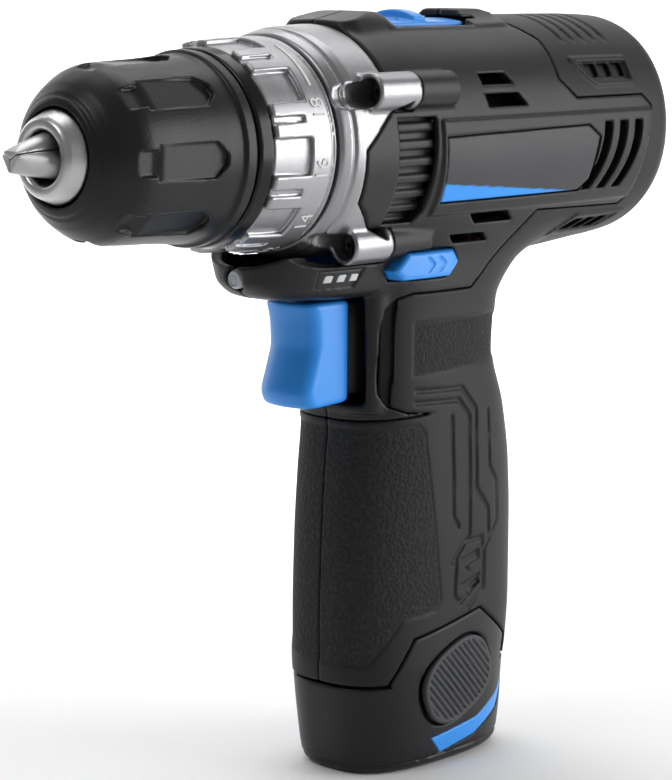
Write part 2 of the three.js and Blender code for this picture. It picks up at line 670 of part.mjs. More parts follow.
// An oval latch pad, leaning to the rear, between two depths.
function latchPad(y0, y1, grow) {
  const shape = new THREE.Shape();
  shape.absellipse(0, 0, 12.2 + grow, 9.2 + grow, 0, 2 * Math.PI);
  const pad = new THREE.ExtrudeGeometry(shape, { depth: y1 - y0, bevelEnabled: false, curveSegments: 10 });
  return solid(pad.rotateX(Math.PI / 2).rotateY(0.4).translate(-0.9, y1, 20.4));
}

function batteryShell() {
  const cheeks = upright(HANDLE).intersect(cheekRegion(0));
  let body = joined([upright(BASE), stemSolid(10, STEM_TOP, 0), cheeks, mirrored(cheeks)]);
  const bay = stemSolid(4.8, STEM_TOP - 1.1, -0.8);
  body = body.subtract(bay);
  const slots = [-8, 0, 8].map((x) => box(x - 3.2, x + 3.2, -1, 1, STEM_TOP - 2, STEM_TOP + 2));
  body = cutBy(body, slots);
  const pocket = latchPad(15.8, 40, GAP);
  return cutBy(body, [pocket, mirrored(pocket)]);
}

function batteryLatch() {
  return latchPad(17.1, 19.1, 0);
}

// ---------------------------------------------------------------- assembly
const drill = new THREE.Group();

function add(name, body, material) {
  const mesh = new THREE.Mesh(geometryOf(largest(solid(geometryOf(body)))), material);
  mesh.name = name;
  drill.add(mesh);
}

const leftCasing = casingHalf();
const leftGrip = gripHalf().subtract(leftCasing);
const leftPlate = namePlate();
add('housing_left', leftCasing, paint(BLACK, 0.55));
add('housing_right', mirrored(leftCasing), paint(BLACK, 0.55));
add('grip_left', leftGrip, paint(RUBBER, 0.85));
add('grip_right', mirrored(leftGrip), paint(RUBBER, 0.85));
add('name_plate_left', leftPlate, paint(0x3a3c40, 0.5));
add('name_plate_right', mirrored(leftPlate), paint(0x3a3c40, 0.5));

add('gearbox_case', gearboxCase(), paint(0x26272a, 0.6));
add('gearbox_ring', gearboxRing(), paint(SILVER, 0.35, 0.9));
EARS.forEach((ear, i) => add(`gearbox_screw_${i + 1}`, gearboxScrew(ear), paint(0x2a2a2c, 0.4, 0.9)));
add('front_bearing', frontBearing(), paint(STEEL, 0.3, 1));

for (const stage of STAGES) {
  add(`ring_gear_${stage.name}`, ringGear(stage), paint(0x8c8d90, 0.4, 1));
  add(`carrier_${stage.name}`, carrier(stage), paint(0x9a9b9e, 0.4, 1));
  for (let i = 0; i < 3; i += 1) {
    add(`planet_${stage.name}_${i + 1}`, planet(stage, i), paint(0xa6a29a, 0.4, 1));
  }
}
add('shift_fork', shiftFork(), paint(STEEL, 0.35, 1));
add('speed_selector', speedSelector(), paint(BLUE, 0.35));

add('motor_can', motorCan(), paint(0x7f8184, 0.4, 1));
add('motor_magnet_left', motorMagnet(1), paint(0x3c3c40, 0.7));
add('motor_magnet_right', motorMagnet(-1), paint(0x3c3c40, 0.7));
add('motor_end_cap', motorEndCap(), paint(0x202124, 0.6));
add('armature', armature(), paint(0x8a5a36, 0.45, 0.8));
add('cooling_fan', coolingFan(), paint(0x1d1d20, 0.6));

add('spindle', spindle(), paint(STEEL, 0.3, 1));
add('chuck_body', chuckBody(), paint(0xc9cacc, 0.22, 1));
add('chuck_screw', chuckScrew(), paint(0x55565a, 0.4, 1));
for (let i = 0; i < 3; i += 1) {
  add(`chuck_jaw_${i + 1}`, chuckJaw(i), paint(0xbfc0c2, 0.3, 1));
}
add('chuck_nut', chuckNut(), paint(0x77787c, 0.4, 1));
add('chuck_sleeve', chuckSleeve(), paint(BLACK, 0.5));

add('torque_collar', torqueCollar(), paint(0x77787c, 0.4, 0.7));
add('clutch_nut', clutchNut(), paint(0xa08a50, 0.4, 1));
add('clutch_spring', clutchSpring(), paint(0x9a9b9e, 0.35, 1));

add('trigger', trigger(), paint(BLUE, 0.32));
add('switch_body', switchBody(), paint(0x19191b, 0.6));
add('direction_button', directionButton(), paint(BLUE, 0.32));
add('led_lens', ledLens(), paint(0xdfe6ee, 0.1));
add('gauge_window', gaugeWindow(), paint(0x2c2e31, 0.25));
add('terminal_block', terminalBlock(), paint(0xb08a4a, 0.5, 0.6));
add('wire_loom', wireLoom(), paint(0xa01c1c, 0.6));

add('battery_shell', batteryShell(), paint(BLACK, 0.55));
CELLS.forEach(([x, y], i) => {
  add(`cell_${i + 1}`, post(x, y, CELL_R, 5, 5 + CELL_LENGTH, 24), paint(0x2c6f5a, 0.45));
});
add('battery_latch_left', batteryLatch(), paint(0x55585c, 0.6));
add('battery_latch_right', mirrored(batteryLatch()), paint(0x55585c, 0.6));

export default drill;
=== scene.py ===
import json
import math

import bpy
import numpy as np
from mathutils import Matrix, Vector


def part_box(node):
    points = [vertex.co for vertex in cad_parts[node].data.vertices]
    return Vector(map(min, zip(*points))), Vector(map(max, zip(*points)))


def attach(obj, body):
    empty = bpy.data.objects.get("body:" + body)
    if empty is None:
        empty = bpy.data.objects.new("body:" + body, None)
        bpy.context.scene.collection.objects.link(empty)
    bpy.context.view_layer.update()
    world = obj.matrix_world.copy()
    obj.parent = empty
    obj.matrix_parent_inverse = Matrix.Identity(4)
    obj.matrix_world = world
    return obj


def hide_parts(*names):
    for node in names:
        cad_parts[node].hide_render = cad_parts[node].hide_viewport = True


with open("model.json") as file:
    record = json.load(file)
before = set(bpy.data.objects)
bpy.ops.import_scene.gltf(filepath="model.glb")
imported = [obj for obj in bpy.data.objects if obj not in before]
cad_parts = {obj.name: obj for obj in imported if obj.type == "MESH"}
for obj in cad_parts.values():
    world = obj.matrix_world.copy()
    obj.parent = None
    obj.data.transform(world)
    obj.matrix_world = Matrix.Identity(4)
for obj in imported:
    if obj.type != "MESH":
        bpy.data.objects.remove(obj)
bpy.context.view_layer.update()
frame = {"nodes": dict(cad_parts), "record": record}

# ------------------------------------------------------------------ places, in millimetres
JOINTS = {joint["name"]: joint for joint in frame["record"]["behaviour"]["joints"]}
AXIS_Z = JOINTS["spindle_spin"]["pos_m"][2] * 1000


def span(node, axis):
    """Lowest and highest place of a CAD node along one axis, in millimetres."""
    low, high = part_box(node)
    return low[axis] * 1000, high[axis] * 1000


TAIL = span("grip_left", 0)[0]
RING_REAR, RING_FRONT = span("gearbox_ring", 0)
COLLAR_REAR, COLLAR_FRONT = span("torque_collar", 0)
RIM_REAR = COLLAR_FRONT - 3.8   # black rim in front of the silver collar
SLEEVE_REAR, SLEEVE_FRONT = span("chuck_sleeve", 0)
NOSE_FRONT = span("chuck_body", 0)[1]
JAW_TIP = span("chuck_jaw_1", 0)[1]
HANDLE_FOOT = span("housing_left", 2)[0]
SELECTOR = span("speed_selector", 0)
SELECTOR_TOP = span("speed_selector", 2)[1]
BUTTON = [span("direction_button", axis) for axis in range(3)]
LAMP_Z = sum(span("led_lens", 2)) / 2
LAMP_FRONT = span("led_lens", 0)[1]
SEAM = 0.12                  # half the gap between the two casing halves
SKIN = 1.2                   # depth of the rubber overmould
WALL = 2.4
EAR_R = 4.3
EARS = [(24.0, 12.0, 39.5), (16.0, -22.4, 38.5)]
EAR_REAR = 26.0
FINE = 0.5


# ------------------------------------------------------------------ signed distance shapes
def soft_join(a, b, k):
    h = np.clip(0.5 + 0.5 * (b - a) / k, 0, 1)
    return b + (a - b) * h - k * h * (1 - h)


def soft_keep(a, b, k):
    return -soft_join(-a, -b, k)


def soft_cut(a, b, k):
    return -soft_join(-a, b, k)


def ramp(value, start, end):
    """0 before start, 1 after end, smooth between."""
    t = np.clip((value - start) / (end - start), 0, 1)
    return t * t * (3 - 2 * t)


def profile(points):
    """A smooth curve through (place, value) points that never overshoots them."""
    at, value = np.array(points, float).T
    step = np.diff(at)
    slope = np.diff(value) / step
    bend = np.zeros(len(at))
    same = slope[:-1] * slope[1:] > 0
    bend[1:-1][same] = 2 * slope[:-1][same] * slope[1:][same] / (slope[:-1][same] + slope[1:][same])
    bend[0], bend[-1] = slope[0], slope[-1]

    def curve(place):
        place = np.clip(place, at[0], at[-1])
        i = np.clip(np.searchsorted(at, place) - 1, 0, len(step) - 1)
        t = (place - at[i]) / step[i]
        return ((1 + 2 * t) * (1 - t) ** 2 * value[i] + t * (1 - t) ** 2 * step[i] * bend[i]
                + t * t * (3 - 2 * t) * value[i + 1] + t * t * (t - 1) * step[i] * bend[i + 1])

    return curve


def oval(u, v, a, b, n):
    """Distance to a superellipse of half sizes a and b."""
    pu = np.abs(u / a) + 1e-6
    pv = np.abs(v / b) + 1e-6
    g = (pu ** n + pv ** n) ** (1 / n)
    du = (pu / g) ** (n - 1) / a
    dv = (pv / g) ** (n - 1) / b
    return (g - 1) / np.sqrt(du * du + dv * dv)


def polygon(u, v, corners):
    """Distance to a closed outline of (u, v) corners, negative inside."""
    best = np.full(u.shape, 1e9)
    inside = np.zeros(u.shape, bool)
    for (u0, v0), (u1, v1) in zip(corners, corners[1:] + corners[:1]):
        eu, ev = u1 - u0, v1 - v0
        t = np.clip(((u - u0) * eu + (v - v0) * ev) / (eu * eu + ev * ev), 0, 1)
        best = np.minimum(best, np.hypot(u - u0 - t * eu, v - v0 - t * ev))
        crosses = (v0 > v) != (v1 > v)
        if v0 != v1:
            inside ^= crosses & (u < (v - v0) * eu / ev + u0)
    return np.where(inside, -best, best)


def line(u, v, corners):
    """Distance to an open line through (u, v) corners."""
    best = np.full(u.shape, 1e9)
    for (u0, v0), (u1, v1) in zip(corners, corners[1:]):
        eu, ev = u1 - u0, v1 - v0
        t = np.clip(((u - u0) * eu + (v - v0) * ev) / (eu * eu + ev * ev), 0, 1)
        best = np.minimum(best, np.hypot(u - u0 - t * eu, v - v0 - t * ev))
    return best


def brick(x, y, z, lows, highs, rounding=0.0):
    parts = [np.abs(c - (a + b) / 2) - (b - a) / 2 + rounding for c, a, b in zip((x, y, z), lows, highs)]
    outside = np.sqrt(sum(np.maximum(part, 0) ** 2 for part in parts))
    return outside + np.minimum(np.maximum.reduce(parts), 0) - rounding


def slab(low, high, value):
    return np.maximum(low - value, value - high)


# ------------------------------------------------------------------ meshes from fields
def crossing(field, low, high, step):
    """Vertices and four-sided faces where field is zero, by surface nets on a grid."""
    low = np.array(low, float) - 2 * step
    block = 8
    blocks = np.ceil((np.array(high, float) + 2 * step - low) / step / block).astype(int)
    grids = np.meshgrid(*[np.arange(n) for n in blocks], indexing="ij")
    place = np.stack(grids, -1).reshape(-1, 3)
    reach = block * step
    middle = field(*(low + (place + 0.5) * reach).T)
    values = np.repeat(np.repeat(np.repeat(
        np.sign(middle).reshape(blocks).astype(np.float32), block, 0), block, 1), block, 2)
    cells = values.reshape(blocks[0], block, blocks[1], block, blocks[2], block).transpose(0, 2, 4, 1, 3, 5)
    near = place[np.abs(middle) < reach * 1.35]
    corner = np.stack(np.meshgrid(*[np.arange(block)] * 3, indexing="ij"), -1).reshape(-1, 3)
    for start in range(0, len(near), 1500):
        part = near[start:start + 1500]
        points = low + (part[:, None, :] * block + corner) * step
        found = field(*points.reshape(-1, 3).T).reshape(len(part), block, block, block)
        cells[part[:, 0], part[:, 1], part[:, 2]] = found
    inside = values < 0
    count = np.zeros([n - 1 for n in values.shape], np.int8)
    for i in (0, 1):
        for j in (0, 1):
            for k in (0, 1):
                count += inside[i:i + count.shape[0], j:j + count.shape[1], k:k + count.shape[2]]
    cell = np.argwhere((count > 0) & (count < 8))
    index = np.full(count.shape, -1, np.int64)
    index[tuple(cell.T)] = np.arange(len(cell))
    total = np.zeros((len(cell), 3))
    hits = np.zeros(len(cell))
    for axis in range(3):
        along = np.eye(3, dtype=int)[axis]
        others = [a for a in range(3) if a != axis]
        for i in (0, 1):
            for j in (0, 1):
                base = cell.copy()
                base[:, others[0]] += i
                base[:, others[1]] += j
                a = values[tuple(base.T)]
                b = values[tuple((base + along).T)]
                cut = (a < 0) != (b < 0)
                t = a[cut] / (a[cut] - b[cut])
                total[cut] += base[cut] + t[:, None] * along
                hits[cut] += 1
    points = low + step * total / hits[:, None]
    faces = []
    for axis in range(3):
        b, c = [(1, 2), (2, 0), (0, 1)][axis]
        lead = [slice(None)] * 3
        trail = [slice(None)] * 3
        lead[axis], trail[axis] = slice(0, -1), slice(1, None)
        changed = inside[tuple(lead)] != inside[tuple(trail)]
        edge = np.argwhere(changed)
        edge = edge[(edge[:, b] > 0) & (edge[:, c] > 0)]
        edge = edge[(edge[:, b] < count.shape[b]) & (edge[:, c] < count.shape[c])]
        quad = []
        for db, dc in ((1, 1), (0, 1), (0, 0), (1, 0)):
            at = edge.copy()
            at[:, b] -= db
            at[:, c] -= dc
            quad.append(index[tuple(at.T)])
        quad = np.stack(quad, -1)
        out = inside[tuple(edge.T)]
        faces.append(np.where(out[:, None], quad, quad[:, ::-1]))
    faces = np.concatenate(faces)
    for _ in range(2):
        points = points - settle(field, points, step)
    return points, faces


def settle(field, points, step):
    """How far each point must move to lie on the field's zero."""
    value = field(*points.T)
    nudge = 0.02 * step
    slope = []
    for axis in range(3):
        ahead = points.copy()
        ahead[:, axis] += nudge
        slope.append((field(*ahead.T) - value) / nudge)
    slope = np.stack(slope, -1)
    size = np.maximum((slope ** 2).sum(1), 0.2)
    move = slope * (value / size)[:, None]
    length = np.linalg.norm(move, axis=1, keepdims=True)
    return move * np.minimum(1, 0.7 * step / np.maximum(length, 1e-9))


def piece(name, points, faces, finish, body, replaces=(), masks=None, smooth=True):
    """A finished mesh piece, from points in millimetres."""
    mesh = bpy.data.meshes.new(name)
    mesh.from_pydata((np.asarray(points) / 1000).tolist(), [], [list(map(int, face)) for face in faces])
    mesh.materials.append(finish)
    for label, values in (masks or {}).items():
        layer = mesh.attributes.new(label, "FLOAT", "POINT")
        layer.data.foreach_set("value", np.asarray(values, np.float32))
    mesh.update()
    mesh.shade_smooth() if smooth else mesh.shade_flat()
    made = bpy.data.objects.new(name, mesh)
    bpy.context.collection.objects.link(made)
    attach(made, body)
    if replaces:
        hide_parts(*replaces)
    return made


def moulded(name, field, low, high, finish, body, replaces=(), step=None, masks=None, mirror=None):
    """A piece from a field, and its mirror image across the middle plane if asked."""
    points, faces = crossing(field, low, high, step or FINE)
    values = {label: mask(*points.T) for label, mask in (masks or {}).items()}
    piece(name, points, faces, finish, body, replaces, values)
    if mirror:
        turned = points * np.array([1, -1, 1])
        piece(mirror["name"], turned, faces[:, ::-1], finish, mirror.get("body", body),
              mirror.get("replaces", ()), values)


# ------------------------------------------------------------------ materials
class Wire:
    """A value socket that takes part in ordinary arithmetic."""

    def __init__(self, finish, socket):
        self.finish, self.socket = finish, socket

    def maths(self, operation, *others):
        return self.finish.value("ShaderNodeMath", {"operation": operation}, [self, *others])

    def __add__(self, other):
        return self.maths("ADD", other)

    __radd__ = __add__

    def __sub__(self, other):
        return self.maths("SUBTRACT", other)

    def __rsub__(self, other):
        return self.maths("MULTIPLY", -1.0) + other

    def __mul__(self, other):
        return self.maths("MULTIPLY", other)

    __rmul__ = __mul__


class Finish:
    """One procedural material, made node by node."""

    def __init__(self, name):
        self.material = bpy.data.materials.new(name)
        self.material.use_nodes = True
        self.nodes = self.material.node_tree.nodes
        self.links = self.material.node_tree.links
        self.shader = self.nodes["Principled BSDF"]

    def make(self, kind, settings=None, inputs=None):
        node = self.nodes.new(kind)
        for key, value in (settings or {}).items():
            if key == "stops":
                for element, (at, colour) in zip(node.color_ramp.elements, value):
                    element.position, element.color = at, colour
            else:
                setattr(node, key, value)
        pairs = inputs.items() if isinstance(inputs, dict) else enumerate(inputs or [])
        for key, value in pairs:
            self.feed(node.inputs[key], value)
        return node

    def value(self, kind, settings, inputs, output=0):
        return Wire(self, self.make(kind, settings, inputs).outputs[output])

    def feed(self, socket, value):
        if isinstance(value, Wire):
            self.links.new(value.socket, socket)
        elif isinstance(value, bpy.types.NodeSocket):
            self.links.new(value, socket)
        else:
            socket.default_value = value

    def place(self, scale=(1, 1, 1)):
        coords = self.make("ShaderNodeTexCoord").outputs["Object"]
        return self.make("ShaderNodeMapping", {}, {"Vector": coords, "Scale": scale}).outputs[0]

    def noise(self, scale, detail=2.0, stretch=(1, 1, 1), rough=0.5):
        return self.value("ShaderNodeTexNoise", {}, {
            "Vector": self.place(stretch), "Scale": scale, "Detail": detail, "Roughness": rough})

    def mask(self, name):
        return self.value("ShaderNodeAttribute", {"attribute_name": name}, {}, "Fac")

    def mix(self, factor, a, b):
        node = self.make("ShaderNodeMix", {"data_type": "RGBA"})
        self.feed(node.inputs[0], factor)
        self.feed(node.inputs[6], a)
        self.feed(node.inputs[7], b)
        return node.outputs[2]

    def bump(self, height, distance, strength=1.0):
        node = self.make("ShaderNodeBump", {}, {"Strength": strength, "Distance": distance})
        self.feed(node.inputs["Height"], height)
        self.feed(self.shader.inputs["Normal"], node.outputs[0])

    def set(self, **values):
        values.setdefault("specular", 0.3)
        names = {"colour": "Base Color", "rough": "Roughness", "metal": "Metallic", "ior": "IOR",
                 "coat": "Coat Weight", "coat_rough": "Coat Roughness", "specular": "Specular IOR Level",
                 "glow": "Emission Color", "glow_strength": "Emission Strength",
                 "clear": "Transmission Weight"}
        for key, value in values.items():
            self.feed(self.shader.inputs[names[key]], value)
        return self.material


def moulded_plastic(name, colour, rough, grain=0.00003, lift=1.35):
    """Hard black plastic: satin, finely spark-eroded, with a slight cloudiness."""
    f = Finish(name)
    cloud = f.noise(60, 3)
    speck = f.noise(2600, 2)
    lighter = tuple(c * lift for c in colour) + (1,)
    f.set(colour=f.mix(cloud, tuple(colour) + (1,), lighter), rough=rough - 0.05 + 0.1 * cloud + 0.05 * speck)
    f.bump(speck + 0.4 * f.noise(900, 1), grain)
    return f.material


def grained_rubber(name):
    """Soft overmould: smooth and dull, with a coarse stipple where the grain mask is set."""
    f = Finish(name)
    stipple = f.value("ShaderNodeTexVoronoi", {"feature": "F1"}, {"Vector": f.place(), "Scale": 1150.0})
    fine = f.noise(2400, 2)
    cloud = f.noise(45, 3)
    panel = f.mask("grain")
    f.set(colour=f.mix(panel * stipple, (0.0075, 0.0075, 0.0082, 1), (0.022, 0.022, 0.0235, 1)),
          rough=0.5 + 0.06 * cloud + 0.22 * panel)
    f.bump(fine * 0.12 * (1 - panel) + stipple * panel * 1.1, 0.00022)
    return f.material


def cast_silver(name, colour, rough, lines):
    """Silver-painted casting with faint turning marks round the spindle."""
    f = Finish(name)
    marks = f.noise(90, 3, (lines, 1, 1), 0.7)
    speck = f.noise(1800, 2)
    f.set(metal=0.9, colour=f.mix(marks, tuple(colour) + (1,), tuple(c * 1.25 for c in colour) + (1,)),
          rough=rough + 0.1 * marks + 0.06 * speck)
    f.bump(marks * 0.6 + speck * 0.5, 0.00004)
    return f.material


def turned_steel(name, colour=(0.62, 0.62, 0.63), rough=0.2, lines=26):
    """Bare machined steel."""
    f = Finish(name)
    marks = f.noise(160, 4, (lines, 1, 1), 0.75)
    smudge = f.noise(70, 3)
    f.set(metal=1.0, colour=f.mix(smudge, tuple(colour) + (1,), tuple(c * 0.82 for c in colour) + (1,)),
          rough=rough + 0.14 * marks + 0.08 * smudge)
    f.bump(marks, 0.00003)
    return f.material


def blue_plastic(name, rough=0.3):
    f = Finish(name)
    cloud = f.noise(70, 2)
    speck = f.noise(2200, 2)
    f.set(colour=f.mix(cloud, (0.022, 0.26, 0.80, 1), (0.03, 0.31, 0.90, 1)), coat=0.25,
          coat_rough=0.2, rough=rough + 0.08 * cloud + 0.06 * speck)
    f.bump(speck, 0.00002)
    return f.material


def plain_paint(name, colour, rough, metal=0.0):
    """A small plain finish with the slight unevenness that any real surface has."""
    f = Finish(name)
    cloud = f.noise(120, 3)
    darker = tuple(c * 0.8 for c in colour) + (1,)
    f.set(metal=metal, colour=f.mix(cloud, darker, tuple(colour) + (1,)), rough=rough + 0.12 * cloud)
    f.bump(f.noise(1500, 2), 0.00002)
    return f.material


def printed_plate(name):
    """Dark grey name plate with its blue wedge printed along the lower edge."""
    f = Finish(name)
    spots = f.noise(1700, 2)
    wedge = f.mask("wedge")
    grey = f.mix(f.noise(50, 3), (0.030, 0.031, 0.034, 1), (0.048, 0.049, 0.053, 1))
    f.set(colour=f.mix(wedge, grey, (0.03, 0.30, 0.87, 1)), rough=0.36 + 0.1 * spots)
    f.bump(spots, 0.00003)
    return f.material


PLASTIC = moulded_plastic("black_plastic", (0.0085, 0.0085, 0.0092), 0.38)
SLEEVE_PLASTIC = moulded_plastic("sleeve_plastic", (0.0085, 0.0085, 0.0092), 0.34, 0.00004)
BATTERY_PLASTIC = moulded_plastic("battery_plastic", (0.0075, 0.0075, 0.0082), 0.36)
RUBBER = grained_rubber("rubber_grip")
SILVER = cast_silver("silver_paint", (0.30, 0.30, 0.31), 0.27, 22)
COLLAR_PAINT = cast_silver("collar_paint", (0.33, 0.33, 0.34), 0.3, 22)
STEEL = turned_steel("bright_steel")
GLOSS_BLACK = moulded_plastic("gloss_black", (0.007, 0.007, 0.0075), 0.2, 0.00001)
JAW_STEEL = turned_steel("jaw_steel", (0.55, 0.55, 0.56), 0.28, 3)
GEAR_STEEL = turned_steel("gear_steel", (0.38, 0.38, 0.39), 0.42)
DARK_STEEL = turned_steel("dark_steel", (0.06, 0.06, 0.065), 0.4)
BLUE = blue_plastic("blue_plastic")
COPPER = plain_paint("copper", (0.55, 0.26, 0.12), 0.35, 0.9)
BRASS = plain_paint("brass", (0.62, 0.46, 0.2), 0.32, 0.95)
CELL_WRAP = plain_paint("cell_wrap", (0.05, 0.23, 0.16), 0.35)
WIRE_COVER = plain_paint("wire_cover", (0.4, 0.02, 0.02), 0.5)
WHITE_PRINT = plain_paint("white_print", (0.75, 0.75, 0.75), 0.5)
GREY_PAD = moulded_plastic("grey_pad", (0.045, 0.046, 0.05), 0.5)
PLATE_FINISH = printed_plate("grey_plate")
GAUGE_DARK = plain_paint("gauge_dark", (0.02, 0.02, 0.022), 0.25)
GAUGE_LIGHT = plain_paint("gauge_light", (0.62, 0.64, 0.66), 0.35)
LENS = plain_paint("clear_lens", (0.5, 0.53, 0.56), 0.08)

# ------------------------------------------------------------------ the casing's outer form
HALF = profile([(-73, 20.4), (-72, 22.5), (-70.2, 24.4), (-66, 25.9), (-54, 26.4), (-30, 26.45), (18, 26.25),
                (41, 25.9)])
UP = profile([(-73, 21.9), (-72, 24.5), (-70.2, 26.1), (-66, 27.2), (-54, 27.6), (-30, 27.7), (0, 27.35),
              (18, 27.3), (31.7, 26.4), (41, 25.9)])
DOWN = profile([(-73, 20.9), (-72, 23.5), (-70.2, 25.5), (-66, 27.1), (-54, 28.3), (-30, 29.9), (0, 28.9),
                (18, 27.3), (31.7, 26.2), (41, 25.9)])
REAR_LINE = profile([(14, -28.2), (21.8, -28.5), (26, -29), (38, -29.8), (56, -29.7), (70, -29.1),
                     (84, -26.8), (98, -22.6), (110, -23.6), (119, -30.5), (128, -46)])
FRONT_LINE = profile([(14, 27.6), (21.8, 28.3), (26, 28.5), (38, 28.6), (56, 28.1), (70, 27.3), (84, 26.2),
                      (98, 26.1), (110, 26.4), (119, 27.6), (128, 28.6)])
HANDLE_HALF = profile([(14, 17.6), (21.8, 18.2), (26, 18.5), (38, 18.7), (56, 18.7), (70, 18.4), (84, 17.9),
                       (98, 17.4), (110, 17.6), (119, 18.4), (128, 19.8)])
CHIN_FRONT = profile([(113.4, 47.4), (115.6, 53.4), (119, 56.6), (127, 57.6), (135, 57.6)])
CHIN_HALF = profile([(113.4, 12.4), (115.6, 14.3), (119, 15.7), (127, 17.3), (135, 17.4)])

GRIP_EDGE = [(-23.5, 190), (-23.5, 175.5), (-28.7, 170.8), (-28, 162.2), (-33.1, 157.6), (-58.9, 157.6),
             (-62.3, 154.7), (-60.5, 148.7), (-57.6, 132.6), (-56, 130.6), (-22.6, 131.3), (-4, 114),
             (15, 114), (18.6, 113), (21.4, 110.5), (22.6, 107), (23, 94), (22.6, 91), (20.4, 88.2),
             (16, 86.4), (8, 85.6), (40, 83.6), (40, 0), (-95, 0), (-95, 190)]
TONGUE_EDGE = [(28, 158.5), (32.6, 156.6), (41.2, 148.4), (40.6, 137), (32.6, 130.4), (28, 128)]


def barrel(x, y, z, inset=0.0):
    up = z - AXIS_Z
    tall = np.where(up > 0, UP(x), DOWN(x)) - inset
    body = oval(y, up, HALF(x) - inset, tall, 2.08)
    return soft_keep(body, np.maximum(TAIL + 0.05 + inset - x, x - 60), 1.0)


def handle(x, y, z, inset=0.0):
    rear, front = REAR_LINE(z) + inset, FRONT_LINE(z) - inset
    return oval(x - (rear + front) / 2, y, (front - rear) / 2, HANDLE_HALF(z) - inset, 2.75)


def chin(x, y, z, inset=0.0):
    front = CHIN_FRONT(z) - inset
    block = oval(x - (front - 8) / 2, y, (front + 8) / 2, CHIN_HALF(z) - inset, 2.6)
    block = soft_keep(block, 113.8 + inset - z, 2.5)
    return np.maximum(block, z - 135)


def outer(x, y, z, inset=0.0):
    y = np.abs(y)
    body = soft_join(barrel(x, y, z, inset), np.maximum(handle(x, y, z, inset), z - 138), 5.0)
    body = np.maximum(body, np.maximum(HANDLE_FOOT + 0.4 - z, x - 41.4))
    return body


def trigger_frame(x, y, z, grow=0.0):
    """The hard frame round the trigger, wider than the grip there."""
    t = np.clip((z - 86.4) / 30.8, 0, 1)
    front, half = 26.5 + 0.7 * t + grow, 13.5 + 0.9 * t + grow
    block = oval(x - (6 - grow + front) / 2, y, (front - 6 + grow) / 2, half, 4)
    return soft_keep(block, slab(86.4 - grow, 117.2 + grow, z), 0.8)


def trigger_well(x, side, z):
    return brick(x, side, z, (12, -20, 88.4), (70, 11.0, 114.2), 1.6)


def round_hole(y, z, radius):
    return np.hypot(y, z - AXIS_Z) - radius


def grip_area(x, z):
    return polygon(x, z, GRIP_EDGE)


def ear_rods(x, y, z, radius, start, end):
    rods = [np.maximum(np.hypot(y - dy, z - AXIS_Z - dz) - radius, slab(start, end, x)) for dy, dz, _ in EARS]
    return np.minimum(*rods)


SLOT_X = (-43.6, -49.6, -55.6)


def side_vents(x, y, z):
    """Openings through the side of the casing."""
    slots = []
    for middle in SLOT_X:
        lean = middle + 0.022 * (z - 152) ** 2
        slots.append(np.maximum(np.abs(x - lean) - 1.5, slab(135.5, 151.6, z)))
    for top, low, front, rear in ((163.9, 161.4, 0.4, -8.9), (159.4, 156.4, 0.1, -11.7)):
        slant = (top - z) * 0.9
        slots.append(np.maximum(slab(rear - slant, front - 0.2 * slant, x), slab(low, top, z)))
    slots.append(np.maximum(slab(-13.6 + (z - 130) * 1.1, -0.4 + (z - 130) * 1.1, x), slab(129.6, 131.9, z)))
    slots.append(np.maximum(slab(-6.2 + (z - 126) * 1.1, 5.4 + (z - 126) * 1.1, x), slab(125.2, 127.2, z)))
    vents = np.minimum.reduce(slots)
    return np.maximum(vents, 10 - y)


UPPER_FRAME = [(-35.1, 166.3), (-55.9, 166.3), (-55.9, 160.6), (-41.7, 160.6), (-38.9, 162.4)]
LOWER_FRAME = [(-36.8, 128.6), (-56.4, 128.6), (-56.4, 124.4), (-36.8, 124.4)]


def windows(x, middle, pitch, half):
    """A row of windows along x, one of them at the middle."""
    return np.abs((x - middle) - np.round((x - middle) / pitch) * pitch) - half


def rear_vents(x, y, z):
    """Two framed rows of three windows, high and low on the rear bumper."""
    front = np.minimum(-40.2 + (z - 162) * 0.97, -39.9)
    upper = np.maximum(slab(-54.4, front, x), slab(161.9, 165.0, z))
    upper = np.maximum(upper, windows(x, -47.15, 5.2, 1.95))
    lower_x = x + (z - 126) * 1.6
    lower = np.maximum(slab(-53.8, -39.2, lower_x), slab(125.3, 127.6, z))
    lower = np.maximum(lower, windows(lower_x, -46.5, 5.2, 1.95))
    return np.minimum(np.maximum(upper, 12 - y), np.maximum(lower, 8 - y))


